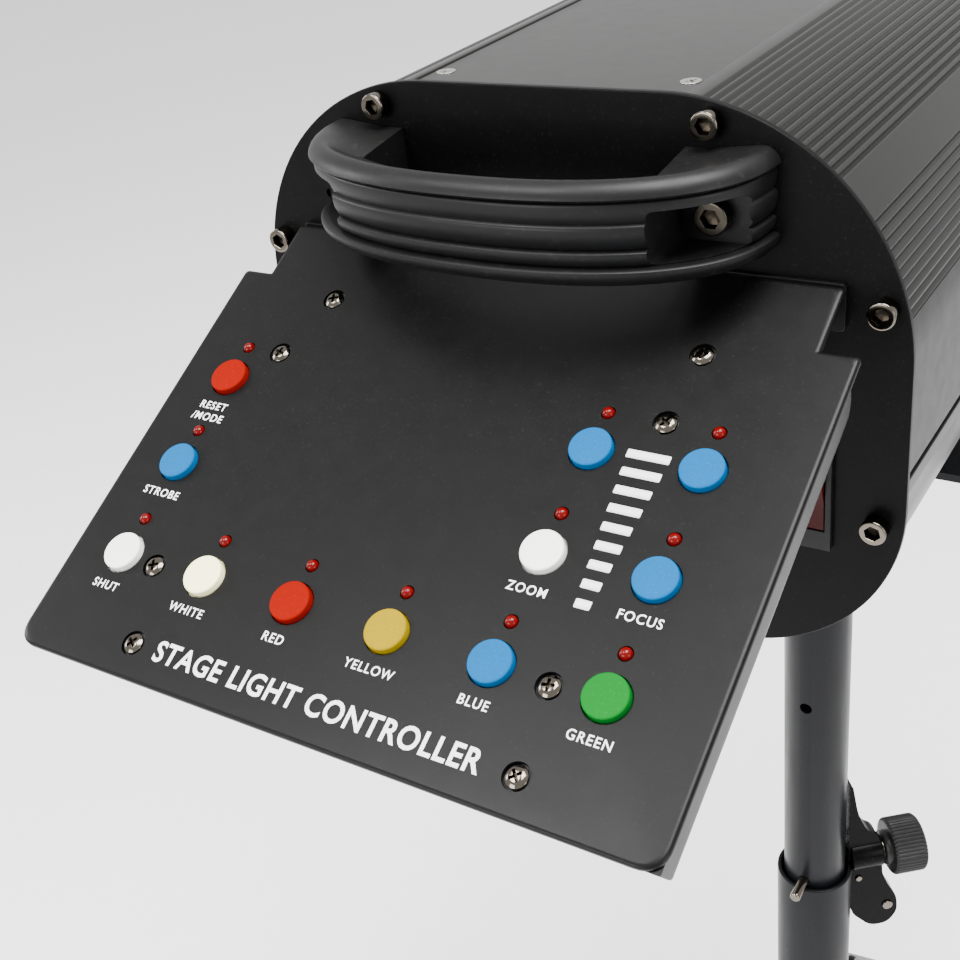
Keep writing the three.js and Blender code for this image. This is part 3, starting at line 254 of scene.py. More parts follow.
def rounded(points, radius, closed=False, steps=4):
    """The polyline with its corners rounded; a point may carry its own radius as a third value."""
    made = []
    last = len(points) - 1
    for i, point in enumerate(points):
        here = Vector(point[:2])
        reach = point[2] if len(point) > 2 else radius
        if not closed and i in (0, last) or reach == 0:
            made.append(tuple(here))
            continue
        before = Vector(points[i - 1][:2]) - here
        after = Vector(points[(i + 1) % len(points)][:2]) - here
        reach = min(reach, before.length * 0.45, after.length * 0.45)
        a, b = here + before.normalized() * reach, here + after.normalized() * reach
        for k in range(steps + 1):
            s = k / steps
            made.append(tuple(a * (1 - s) ** 2 + here * 2 * s * (1 - s) + b * s * s))
    return made


def lathe(name, profile, matrix, segments=96, closed=False):
    """Turns [radius, height] points about the local Z axis."""
    rings = []
    for radius, height in profile:
        angles = (2 * math.pi * k / segments for k in range(segments))
        rings.append([(radius * math.cos(a), radius * math.sin(a), height) for a in angles])
    return loft(name, rings, matrix, closed)


def aim(start, direction):
    """Matrix whose Z axis runs along direction from start."""
    turn = Vector((0, 0, 1)).rotation_difference(Vector(direction)).to_matrix().to_4x4()
    return Matrix.Translation(start) @ turn


def rod(name, start, end, radius, matrix, edge=0.6, segments=48):
    span = Vector(end) - Vector(start)
    profile = rounded([(0, 0), (radius, 0), (radius, span.length), (0, span.length)], edge)
    return lathe(name, profile, matrix @ aim(start, span), segments)


def slab(name, loops, low, high, matrix, rim=()):
    """A sheet with holes: the first loop is its outline and the others are holes.

    rim holds [loop, height] rings that lead down from the top outline. The last is the outline underneath.
    """
    bm = bmesh.new()
    edges = []
    for loop in loops:
        verts = [bm.verts.new((x, y, 0)) for x, y in loop]
        edges += [bm.edges.new(pair) for pair in zip(verts, verts[1:] + verts[:1])]
    bmesh.ops.triangle_fill(bm, edges=edges, use_beauty=True)
    bm.verts.index_update()
    flat = [tuple(v.co[:2]) for v in bm.verts]
    fill = [tuple(v.index for v in face.verts) for face in bm.faces]
    bounds = [tuple(v.index for v in edge.verts) for edge in bm.edges if len(edge.link_faces) == 1]
    bm.free()
    total, count = len(flat), len(loops[0])
    under = (list(rim[-1][0]) if rim else flat[:count]) + flat[count:]
    verts = [(x, y, low) for x, y in under] + [(x, y, high) for x, y in flat]
    faces = [face[::-1] for face in fill] + [tuple(i + total for i in face) for face in fill]
    faces += [(a, b, b + total, a + total) for a, b in bounds if not rim or min(a, b) >= count]
    if rim:
        starts = [total] + [len(verts) + i * count for i in range(len(rim) - 1)] + [0]
        verts += [(x, y, height) for loop, height in rim[:-1] for x, y in loop]
        faces += [(a + k, a + (k + 1) % count, b + (k + 1) % count, b + k)
                  for a, b in zip(starts, starts[1:]) for k in range(count)]
    return to_mesh(name, verts, faces, matrix)


def circle(x, y, radius, segments=48):
    angles = (2 * math.pi * k / segments for k in range(segments))
    return [(x + radius * math.cos(a), y + radius * math.sin(a)) for a in angles]


def rectangle(x0, x1, y0, y1, radius=1.0, steps=4):
    return rounded([(x0, y0), (x1, y0), (x1, y1), (x0, y1)], radius, closed=True, steps=steps)


def arc(centre_x, centre_y, radius, start, end, steps=28):
    angles = (math.radians(start + (end - start) * k / steps) for k in range(steps + 1))
    return [(centre_x + radius * math.cos(a), centre_y + radius * math.sin(a)) for a in angles]


# ------------------------------------------------------------------ pieces
def soften(obj, width, segments=2, angle=32):
    """Rounds an object's sharp edges and keeps its flats flat."""
    for polygon in obj.data.polygons:
        polygon.use_smooth = True
    weld = obj.modifiers.new("weld", "WELD")
    weld.merge_threshold = 1e-6
    bevel = obj.modifiers.new("edges", "BEVEL")
    bevel.width = width * 0.001
    bevel.segments = segments
    bevel.limit_method = "ANGLE"
    bevel.angle_limit = math.radians(angle)
    bevel.use_clamp_overlap = True
    normals = obj.modifiers.new("normals", "WEIGHTED_NORMAL")
    normals.keep_sharp = True


def piece(name, mesh, body, look, stands_for=(), place=None, edge=0.0, **edges):
    obj = bpy.data.objects.new(name, mesh)
    bpy.context.scene.collection.objects.link(obj)
    if place is not None:
        obj.matrix_world = place
    if not mesh.materials:
        mesh.materials.append(LOOKS[look])
    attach(obj, body)
    if stands_for:
        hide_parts(*stands_for)
    if edge:
        soften(obj, edge, **edges)
    return obj


def dress(node, look, edge=0.5, **edges):
    """Keeps a CAD node, with a finish and softened edges."""
    obj = frame["nodes"][node]
    obj.data.materials.clear()
    obj.data.materials.append(LOOKS[look])
    for name in [a.name for a in obj.data.attributes if a.name == "custom_normal"]:
        obj.data.attributes.remove(obj.data.attributes[name])
    soften(obj, edge, **edges)


def carve(obj, cutters):
    """Cuts the cutters' shapes out of a piece's mesh and removes them."""
    for cutter in cutters:
        tool = bpy.data.objects.new("cutter", cutter)
        bpy.context.scene.collection.objects.link(tool)
        boolean = obj.modifiers.new("cut", "BOOLEAN")
        boolean.object = tool
        boolean.solver = "EXACT"
        evaluated = obj.evaluated_get(bpy.context.evaluated_depsgraph_get())
        cut = bpy.data.meshes.new_from_object(evaluated)
        obj.modifiers.clear()
        obj.data = cut
        bpy.data.objects.remove(tool)


# ------------------------------------------------------------------ screws
def hexagon_radius(apothem, angle):
    sector = math.pi / 3
    return apothem / math.cos((angle % sector) - sector / 2)


def socket_screw_mesh(radius, height, apothem, depth, look="nickel", segments=48):
    """Cap screw head with a hexagonal socket, standing on Z = 0."""
    outer = [(radius - 0.5, 0), (radius, 0.4), (radius, height), (apothem + 0.7, height)]
    angles = [2 * math.pi * k / segments for k in range(segments)]
    rings = [[(r * math.cos(a), r * math.sin(a), z) for a in angles] for r, z in rounded(outer, 0.7, steps=5)]
    floor = height - depth
    for share, z in ((1.07, height), (1.0, height - 0.3), (1.0, floor), (0.0, floor - 0.8)):
        hexagon = [(share * hexagon_radius(apothem, a), a) for a in angles]
        rings.append([(r * math.cos(a), r * math.sin(a), z) for r, a in hexagon])
    mesh = loft("socket_screw", rings, MM)
    return two_tone(mesh, apothem * 1.2, height - 0.25, look)


def two_tone(mesh, reach, level, look="nickel"):
    """Gives a screw head its look outside and a painted shade of dark metal in its recess, inside reach and
    below level.
    """
    mesh.materials.append(LOOKS[look])
    mesh.materials.append(LOOKS["recess_painted_shade"])
    # Faces inside the recess get the painted shade.
    for polygon in mesh.polygons:
        centre = polygon.center * 1000
        if math.hypot(centre.x, centre.y) < reach and 0 < centre.z < level or centre.length < 0.5:
            polygon.material_index = 1
    mesh.set_sharp_from_angle(angle=math.radians(42))
    return mesh


def cross_screw_mesh(radius, height, look="nickel", countersunk=False):
    """Pan or countersunk head with a cross recess, its rim at Z = 0 and its crown at height."""
    crown = [(0, height), (radius * 0.62, height), (radius, height * 0.35), (radius, 0), (0, 0)]
    if countersunk:
        crown = [(0, height), (radius, height), (radius, height - 0.3), (radius * 0.5, -1.6), (0, -1.6)]
    profile = rounded(crown, 0.2 if countersunk else 1.0)
    head = bpy.data.objects.new("head", lathe("cross_screw", profile, MM, 48))
    bpy.context.scene.collection.objects.link(head)
    arm, half = radius * 0.62, radius * 0.15
    corners = [(half, half), (arm, half), (arm, -half)]
    outline = []
    for k in range(4):
        cos, sin = math.cos(-k * math.pi / 2), math.sin(-k * math.pi / 2)
        outline += [(x * cos - y * sin, x * sin + y * cos) for x, y in corners]
    rings = [[(x * s, y * s, z) for x, y in outline] for s, z in ((1.05, height + 0.5), (0.62, height - 1.5))]
    carve(head, [loft("cross", rings, MM, caps=True)])
    mesh = head.data
    mesh.materials.clear()
    two_tone(mesh, arm * 1.05, height - 0.12, look)
    bpy.data.objects.remove(head)
    return mesh


def add_screws():
    cap = socket_screw_mesh(5.0, 6.0, 2.6, 3.4)
    pan = cross_screw_mesh(3.9, 1.7)
    flat = cross_screw_mesh(3.9, 0.25, "bright_zinc", countersunk=True)
    for i, (x, z) in enumerate(PLATE_SCREWS):
        for end, y, way, turn in (("rear", REAR_Y, -1, 11), ("front", FRONT_Y, 1, 23)):
            spin = Matrix.Rotation(math.radians(turn * i), 4, "Z")
            seat = Matrix.Translation((x / 1000, y / 1000, (TILT_Z + z) / 1000))
            place = seat @ aim((0, 0, 0), (0, way, 0)) @ spin
            piece(f"cap_screw_{end}_{i + 1}", cap, "head", "nickel", place=place)
    for i, (u, v) in enumerate(PANEL_SCREWS + BOARD_SCREWS):
        spin = Matrix.Rotation(math.radians(20 + 37 * i), 4, "Z")
        place = unscaled(PANEL @ Matrix.Translation((u, v, -0.75))) @ spin
        piece(f"panel_screw_{i + 1}", pan, "head", "nickel", place=place)
    top = box_mm("top_cover")[1].z
    rows = (REAR_Y + COVER_SCREW_INSET, FRONT_Y - COVER_SCREW_INSET)
    for i, (x, y) in enumerate([(x, y) for y in rows for x in COVER_SCREW_X]):
        spin = Matrix.Rotation(math.radians(33 * i + 12), 4, "Z")
        piece(f"cover_screw_{i + 1}", flat, "head", "nickel",
              place=Matrix.Translation((x / 1000, y / 1000, top / 1000)) @ spin)


def unscaled(matrix):
    """The same place and turn, for a mesh that is already in metres."""
    place, turn, _ = matrix.decompose()
    return Matrix.Translation(place) @ turn.to_matrix().to_4x4()


# ------------------------------------------------------------------ end plates
def plate_outline():
    (tx, tz, tr), (lx, lz, lr) = TOP_ARC, LOW_ARC
    right = arc(tx, tz, tr, 90, 0) + arc(lx, lz, lr, 0, -90)
    return right + arc(-lx, lz, lr, -90, -180) + arc(-tx, tz, tr, 180, 90)


def in_xz(y):
    """Matrix for outlines drawn in X and Z, whose thickness runs back along -Y from y."""
    return HEAD @ Matrix.Translation((0, y, 0)) @ Matrix.Rotation(math.pi / 2, 4, "X")


VENT = {"half": 34, "low": -92, "pitch": 12, "height": 5, "count": 5}
SOCKETS_Z = -34
INLET = {"x": 84.5, "half_width": 25.3, "half_height": 20.3}
DATA_SOCKETS = {"x": (-70, -102), "r": 12.3}
CABLE_HOLE = (0, 22, 8)
BEAM_HOLE_R = 70


def add_end_plates():
    lows = [VENT["low"] + VENT["pitch"] * i for i in range(VENT["count"])]
    vents = [rectangle(-VENT["half"], VENT["half"], low, low + VENT["height"], 2.4, 6) for low in lows]
    wide, tall = INLET["half_width"], INLET["half_height"]
    inlet = rectangle(INLET["x"] - wide, INLET["x"] + wide, SOCKETS_Z - tall, SOCKETS_Z + tall, 1.5)
    sockets = [circle(x, SOCKETS_Z, DATA_SOCKETS["r"]) for x in DATA_SOCKETS["x"]]
    holes = [*vents, inlet, *sockets, circle(*CABLE_HOLE)]
    rear = slab("rear_plate_sheet", [plate_outline(), *holes], 0, PLATE, in_xz(REAR_Y + PLATE))
    piece("rear_plate_sheet", rear, "head", "plate_coat", ["rear_plate"], edge=0.55, segments=3)
    beam_hole = circle(0, 0, BEAM_HOLE_R, 96)
    front = slab("front_plate_sheet", [plate_outline(), beam_hole], 0, PLATE, in_xz(FRONT_Y))
    piece("front_plate_sheet", front, "head", "plate_coat", ["front_plate"], edge=0.55, segments=3)


# ------------------------------------------------------------------ housing
PROFILE_R = 87.5
WALL = 2
FLUTE_DEPTH = 1.25
BAND = (44.7, 34.2)
SEAM_ANGLE = 9.9
SIDE_RIBS = 10
COVER_TOP = 107.9
LEDGE = {"z": COVER_TOP - WALL - GAP, "width": 11}
COVER_GAP = 0.35
# Corner extrusions: side, edge of the rail by the cover, angle where the ribs start, ribs above the band.
CORNERS = {"left": (-1, 61, 77.5, 14), "right": (1, 54.7, 82.2, 16)}


def on_profile(angle, radius=PROFILE_R):
    turn = math.radians(angle)
    return TOP_ARC[0] + radius * math.cos(turn), TOP_ARC[1] + radius * math.sin(turn)


def fluted(start, end, count, steps=10):
    """Soft ribs along the corner's arc, from one angle to another."""
    points = []
    for i in range(count * steps):
        wave = (0.5 - 0.5 * math.cos(2 * math.pi * (i % steps) / steps)) ** 1.5
        points.append(on_profile(start + (end - start) * i / (count * steps), PROFILE_R - FLUTE_DEPTH * wave))
    return points


def corner_outline(rail_x, ribs_from, rib_count):
    """Section of the upper corner extrusion, from the rail beside the cover round to the side seam."""
    crest = TOP_ARC[1] + math.sqrt(PROFILE_R ** 2 - (rail_x + 0.8 - TOP_ARC[0]) ** 2)
    rail = [(rail_x, LEDGE["z"]), (rail_x, crest - 0.8), (rail_x + 0.24, crest - 0.24), (rail_x + 0.8, crest)]
    ribs = fluted(ribs_from, BAND[0], rib_count) + [on_profile(BAND[0])]
    ribs += fluted(BAND[1], SEAM_ANGLE, SIDE_RIBS) + [on_profile(SEAM_ANGLE)]
    inner = [on_profile(SEAM_ANGLE + (ribs_from - SEAM_ANGLE) * k / 14, 84) for k in range(15)]
    low, end = LEDGE["z"] - WALL, rail_x - LEDGE["width"]
    return rail + ribs + inner + [(rail_x, low), (end, low), (end, LEDGE["z"])]


def add_housing():
    length = BODY_Y1 - BODY_Y0
    for label, (side, *corner) in CORNERS.items():
        name = f"upper_profile_{label}_shell"
        mesh = slab(name, [[(side * x, z) for x, z in corner_outline(*corner)]], 0, length, in_xz(BODY_Y1))
        mesh.set_sharp_from_angle(angle=math.radians(38))
        piece(name, mesh, "head", "housing_coat", ["upper_profile_" + label])
        # The side panels take the darker copy of the housing coat, which is painted shade.
        dress("side_panel_" + label, "side_painted_shade_coat", 0.5)
        dress("lower_profile_" + label, "housing_coat", 0.4)
    x0, x1, z0 = COVER_GAP - CORNERS["left"][1], CORNERS["right"][1] - COVER_GAP, COVER_TOP - WALL
    outline = [(x0, z0), (x1, z0), (x1, COVER_TOP), (x0, COVER_TOP)]
    cover = slab("top_cover_sheet", [outline], 0, length, in_xz(BODY_Y1))
    piece("top_cover_sheet", cover, "head", "housing_coat", ["top_cover"], edge=0.5)
    dress("bottom_cover", "housing_coat", 0.5)


# ------------------------------------------------------------------ handle
HANDLE = {"half": 93, "depth": 55.5, "power": 2.3, "low": 61.0, "inner_top": 90.9}
FINGER_GAP = {"half": 59, "side": 25.5, "middle": 38.5}
HANDLE_ROOT = 0.8  # share of the half width from which the grip runs straight into the plate
ROOT_CLIMB = 3.2
# Bands of the grip's outer face from the top down: upper edge, lower edge, inset at crest, inset at crease.
HANDLE_BANDS = [(89.8, 82.5, 1.5, 2.7), (82.5, 73.0, 1.3, 4.0), (73.0, 67.0, 1.9, 4.2),
                (67.0, 61.0, 0.6, 3.0)]
# [share of a band's height, share of the way from crease to crest] down one band.
BAND_SHAPE = [(0.03, 0.45), (0.07, 0.8), (0.13, 0.97), (0.22, 1.0), (0.35, 0.98), (0.5, 0.9), (0.64, 0.75),
              (0.78, 0.54), (0.9, 0.28), (1.0, 0.0)]
HANDLE_POCKET = {"x": 76, "half": 12.6, "low": 67.3, "high": 86.1, "floor": 14.5, "bolt_z": 77}


def handle_profile():
    """[inset, z] down the outer face: convex bands, each full at its top and tucked in at its foot."""
    points = [(6.2, 96.3), (4.9, 96.2), (3.5, 95.7), (2.2, 94.8), (1.1, 93.6), (0.4, 92.3), (0.1, 91.2),
              (0.6, 90.4), (1.8, 89.95), (3.4, 89.8)]
    for top, low, crest, crease in HANDLE_BANDS:
        for share, lift in BAND_SHAPE:
            points.append((crease - (crease - crest) * lift, top + (low - top) * share))
    return points + [(5.0, HANDLE["low"])]


def handle_outer(t, inset):
    power = 2 / HANDLE["power"]
    x = math.copysign(abs(math.cos(t)) ** power, math.cos(t))
    y = abs(math.sin(t)) ** power
    return (HANDLE["half"] - inset) * x, -(HANDLE["depth"] - inset) * y


def handle_inner(s):
    y = FINGER_GAP["side"] + (FINGER_GAP["middle"] - FINGER_GAP["side"]) * (1 - s * s)
    return s * FINGER_GAP["half"], -y


def handle_section(t, at_plate):
    """One cross-section of the grip: down its outer face, up the finger gap's wall, out over the top."""
    share = math.cos(t)
    x, y = handle_inner(max(-1.0, min(1.0, share / HANDLE_ROOT)))
    root = max(0.0, (abs(share) - HANDLE_ROOT) / 0.2)
    if root > 0:
        x = math.copysign(FINGER_GAP["half"], share)
        y = -FINGER_GAP["side"] * (1 - root)
    section = []
    for inset, z in handle_profile():
        outer_x, outer_y = handle_outer(t, inset)
        section.append((outer_x, 0 if at_plate else outer_y, z))
    climb = ROOT_CLIMB * root
    wall = [(2.5, 61.0), (0.7, 61.8), (0.0, 63.5), (0.0, 76.0), (0.0, 88.6 + climb), (0.4, 90.1 + climb),
            (1.3, HANDLE["inner_top"] + climb)]
    section += [(x, y - back * (1 - root), z) for back, z in wall]
    edge, crest = Vector(section[-1]), Vector(section[0])
    for share in (0.12, 0.3, 0.5, 0.7, 0.88):
        point = edge.lerp(crest, share)
        point.z -= 1.1 * math.sin(math.pi * share) * (1 - share)
        section.append(tuple(point))
    return section


def add_handle(count=120):
    sections = [handle_section(math.pi * i / count, i in (0, count)) for i in range(count + 1)]
    matrix = HEAD @ Matrix.Translation((0, REAR_Y - GAP, 0))
    mesh = loft("rear_handle_grip", sections, matrix, caps=True)
    grip = piece("rear_handle_grip", mesh, "head", "moulded_black", ["rear_handle"])
    pockets = []
    low, high, floor = HANDLE_POCKET["low"], HANDLE_POCKET["high"], HANDLE_POCKET["floor"]
    for side in (-1, 1):
        x, half = side * HANDLE_POCKET["x"], HANDLE_POCKET["half"]
        outline = rectangle(x - half, x + half, low, high, 3.2, 6)
        pockets.append(slab("pocket", [outline], floor, 75, in_xz(REAR_Y)))
    carve(grip, pockets)
    grip.data.set_sharp_from_angle(angle=math.radians(38))
    # The bolts' dark steel is painted shade.
    bolt = socket_screw_mesh(6.0, 6.0, 3.0, 3.6, "bolt_steel_painted_shade")
    for side, label in ((-1, "left"), (1, "right")):
        seat = Matrix.Translation((side * HANDLE_POCKET["x"], REAR_Y - floor, HANDLE_POCKET["bolt_z"]))
        place = unscaled(HEAD @ seat @ aim((0, 0, 0), (0, -1, 0)))
        piece("handle_bolt_" + label, bolt, "head", "nickel", place=place)


# ------------------------------------------------------------------ control panel
# [inset, height] down the panel's outer edge.
PANEL_RIM = [(1.8, 0), (0.9, -0.16), (0.3, -0.55), (0.04, -1.15), (0, -2)]
PANEL_T = 2
PANEL_SIZE = {"half": 130, "tab_half": 116.5, "low": -43.5, "shoulder": 133, "high": 159.5, "corner": 9}
TRAY = {"half": 129, "low": -43, "high": 124, "top": -2.3, "bottom": -15, "end_r": 10, "wall": 1.5,
        "lower_lean": 2.5, "side_lean": 0.6}
BRACKET_X = 40
SCREW_HOLE_R = 4.7
BOARD_TOP = -11.6
BOARD_T = 1.5
STAND_OFF_R = 5.6


def panel_outline(inset=0.0):
    half, tab = PANEL_SIZE["half"] - inset, PANEL_SIZE["tab_half"] - inset
    low, corner = PANEL_SIZE["low"] + inset, PANEL_SIZE["corner"] - inset
    shoulder, high = PANEL_SIZE["shoulder"] - inset, PANEL_SIZE["high"] - inset
    corners = [(-half, shoulder, 2), (-half, low, corner), (half, low, corner), (half, shoulder, 2),
               (tab, shoulder, 1), (tab, high, 1.5), (-tab, high, 1.5), (-tab, shoulder, 1)]
    return rounded(corners, 1.0, closed=True, steps=8)


def tray_ring(height, inset=0.0):
    """The tray's outline at a height: its lower wall leans in, and its upper end is rounded under."""
    drop = (TRAY["top"] - height) / (TRAY["top"] - TRAY["bottom"])
    low = TRAY["low"] + TRAY["lower_lean"] * drop + inset
    half = TRAY["half"] - TRAY["side_lean"] * drop - inset
    reach, start = TRAY["end_r"], TRAY["bottom"] + TRAY["end_r"]
    high = TRAY["high"] - inset
    if height <= start:
        high += math.sqrt(max(0.0, reach ** 2 - (height - start) ** 2)) - reach
    corners = [(-half, low, 7), (half, low, 1), (half, high, 1), (-half, high, 1)]
    return [(x, y, height) for x, y in rounded(corners, 1, closed=True, steps=5)]


def add_tray():
    heights = (TRAY["top"], -5, -7.5, -10, -12, -13.4)
    rings = [tray_ring(TRAY["bottom"], 1.4), tray_ring(-14.85, 0.5), tray_ring(-14.4, 0.12)]
    rings += [tray_ring(height) for height in heights[::-1]]
    rings += [tray_ring(height, TRAY["wall"]) for height in heights]
    tray = loft("control_tray", rings, PANEL, caps=True)
    piece("control_tray", tray, "head", "panel_coat", ["control_box"], edge=0.3, angle=50)
    web = [(-GAP, 12), (-40.6, 15.1), (-124.5, -29.5), (-GAP, -72)]
    for x, label in ((-BRACKET_X, "left"), (BRACKET_X, "right")):
        turn = Matrix(((0, 0, 1, x), (1, 0, 0, REAR_Y), (0, 1, 0, 0), (0, 0, 0, 1)))
        sheet = slab("tray_bracket_" + label, [web], -1.5, 1.5, HEAD @ turn)
        piece("tray_bracket_" + label, sheet, "head", "panel_coat", edge=0.4)
        outline = rectangle(x - 10, x + 10, -72, 12, 1)
        foot = slab("tray_foot_" + label, [outline], 0, 3, in_xz(REAR_Y - GAP))
        piece("tray_foot_" + label, foot, "head", "panel_coat", edge=0.4)


def add_panel():
    holes = []
    for _, column, row, _, _ in BUTTONS:
        u, v = button_place(column, row)
        holes += [circle(u, v, BUTTON_R + 0.6, 64), circle(u, v + LED_OFFSET, 2.6, 32)]
    holes += [circle(u, v, SCREW_HOLE_R, 40) for u, v in PANEL_SCREWS + BOARD_SCREWS]
    (top_inset, top), *under = PANEL_RIM
    rim = [(panel_outline(inset), height) for inset, height in under]
    sheet = slab("control_panel_sheet", [panel_outline(top_inset), *holes], -PANEL_T, top, PANEL, rim)
    piece("control_panel_sheet", sheet, "head", "panel_coat", ["control_panel"], edge=0.3, segments=3,
          angle=40)
    flange = slab("panel_flange", [rectangle(-116, 116, 34, 51.4, 2)], 0, PANEL_T, in_xz(REAR_Y - GAP))
    piece("panel_flange", flange, "head", "panel_coat", edge=0.4)


def add_board():
    outline = rectangle(-118, 118, -32, 116, 2)
    board = slab("circuit_board_sheet", [outline], BOARD_TOP - BOARD_T, BOARD_TOP, PANEL)
    piece("circuit_board_sheet", board, "head", "circuit_board", ["control_board"], edge=0.15)
    stand_off = [(0, BOARD_TOP - 0.1), (STAND_OFF_R, BOARD_TOP - 0.1), (STAND_OFF_R, -2.1), (0, -2.1)]
    # The stand-offs are real parts. Their near-black is painted shade seen through the screw holes.
    for i, (u, v) in enumerate(BOARD_SCREWS + PANEL_SCREWS):
        name = f"stand_off_{i + 1}"
        mesh = lathe(name, rounded(stand_off, 0.3), PANEL @ Matrix.Translation((u, v, 0)), 32)
        piece(name, mesh, "head", "standoff_painted_shade")


CAP_TOP = 2.5
CAP_FLANGE = -2.3
LED_RADIUS = 2.25
LED_SHOULDER = -0.4


def add_buttons():
    flange_r = BUTTON_R + 1.2
    cap_profile = rounded([
        (0, CAP_TOP), (BUTTON_R - 2, CAP_TOP - 0.05), (BUTTON_R, CAP_TOP - 0.15, 1.3), (BUTTON_R, CAP_FLANGE),
        (flange_r, CAP_FLANGE), (flange_r, -5), (3, -5), (3, -9), (0, -9)], 0.35, steps=6)
    led_profile = [(0, -12), (LED_RADIUS, -12), (LED_RADIUS, LED_SHOULDER)]
    led_profile += arc(0, LED_SHOULDER, LED_RADIUS, 6, 90, 12)
    for node, column, row, look, _ in BUTTONS:
        u, v = button_place(column, row)
        cap = lathe(node + "_cap", cap_profile, MM, 72)
        piece(node + "_cap", cap, node, look, [node], place=unscaled(PANEL @ Matrix.Translation((u, v, 0))))
        led = lathe(node + "_lamp", led_profile, MM, 40)
        seat = PANEL @ Matrix.Translation((u, v + LED_OFFSET, 0))
        piece(node + "_lamp", led, "head", "led_red", place=unscaled(seat))


# ------------------------------------------------------------------ printed labels
TITLE = "STAGE LIGHT CONTROLLER"
TITLE_BOX = (-67.5, 66.5, -34.3, -26.3)
LABEL_HEIGHT = 3.4
LINE_PITCH = 5.3
PRINT_LIFT = 0.03
BARS = {"count": 9, "u": 75.5, "high": 82.2, "low": 26.7, "widest": 15.6, "narrowest": 5.6, "half": 1.6}


def printed(name, text, centre, height, width=None, bold=0.012, spacing=1.16):
    """Text laid on the panel, scaled to a height and, where given, a width."""
    curve = bpy.data.curves.new(name, "FONT")
    curve.body = text
    curve.align_x = "CENTER"
    curve.offset = bold
    curve.space_character = spacing
    curve.extrude = 0.004
    curve.resolution_u = 4
    obj = bpy.data.objects.new(name, curve)
    bpy.context.scene.collection.objects.link(obj)
    bpy.context.view_layer.update()
    mesh = bpy.data.meshes.new_from_object(obj.evaluated_get(bpy.context.evaluated_depsgraph_get()))
    bpy.data.objects.remove(obj)
    xs = [v.co.x for v in mesh.vertices]
    ys = [v.co.y for v in mesh.vertices]
    scale_y = height / (max(ys) - min(ys))
    scale_x = width / (max(xs) - min(xs)) if width else scale_y * 0.95
    middle = ((max(xs) + min(xs)) / 2, (max(ys) + min(ys)) / 2)
    fit = Matrix.Translation((*centre, PRINT_LIFT)) @ Matrix.Diagonal((scale_x, scale_y, 2.0, 1)) \
        @ Matrix.Translation((-middle[0], -middle[1], 0))
    mesh.transform(PANEL @ fit)
    mesh.materials.clear()
    piece(name, mesh, "head", "print_white")


def add_labels():
    u0, u1, v0, v1 = TITLE_BOX
    printed("title_print", TITLE, ((u0 + u1) / 2, (v0 + v1) / 2), v1 - v0, u1 - u0, 0.022, 1.08)
    for node, column, row, _, label in BUTTONS:
        if label:
            u, v = button_place(column, row)
            centre = (u, v - LABEL_DROP - LABEL_HEIGHT / 2)
            printed(node.replace("button", "label"), label, centre, LABEL_HEIGHT)
    u, v = button_place(0, 2)
    printed("label_mode", "/MODE", (u, v - LABEL_DROP - LABEL_HEIGHT / 2 - LINE_PITCH), LABEL_HEIGHT)
    for i in range(BARS["count"]):
        share = i / (BARS["count"] - 1)
        half = (BARS["widest"] + (BARS["narrowest"] - BARS["widest"]) * share) / 2
        v = BARS["high"] + (BARS["low"] - BARS["high"]) * share
        outline = rectangle(BARS["u"] - half, BARS["u"] + half, v - BARS["half"], v + BARS["half"], 0.5)
        name = f"level_bar_{i + 1}"
        piece(name, slab(name, [outline], 0, 0.035, PANEL), "head", "print_white")


# ------------------------------------------------------------------ sockets
def add_sockets():
    dress("power_inlet", "moulded_black", 0.4)
    dress("data_sockets", "moulded_black", 0.4)
    dress("rocker_switch", "switch_red", 0.8, segments=3)


# ------------------------------------------------------------------ barrel
def along_y(y):
    """Matrix for profiles turned about the beam's axis, with their height along +Y from y."""
    return HEAD @ Matrix.Translation((0, y, 0)) @ Matrix.Rotation(-math.pi / 2, 4, "X")


BARREL_R = 84
BARREL_BORE = 81.5
FLANGE_R = 97.4
BEZEL_R = 88.4
BEZEL_BORE = 70
GROOVE_DEPTH = 1.2
LENS_R = 76
DOME_R = 69
DOME_RISE = 11


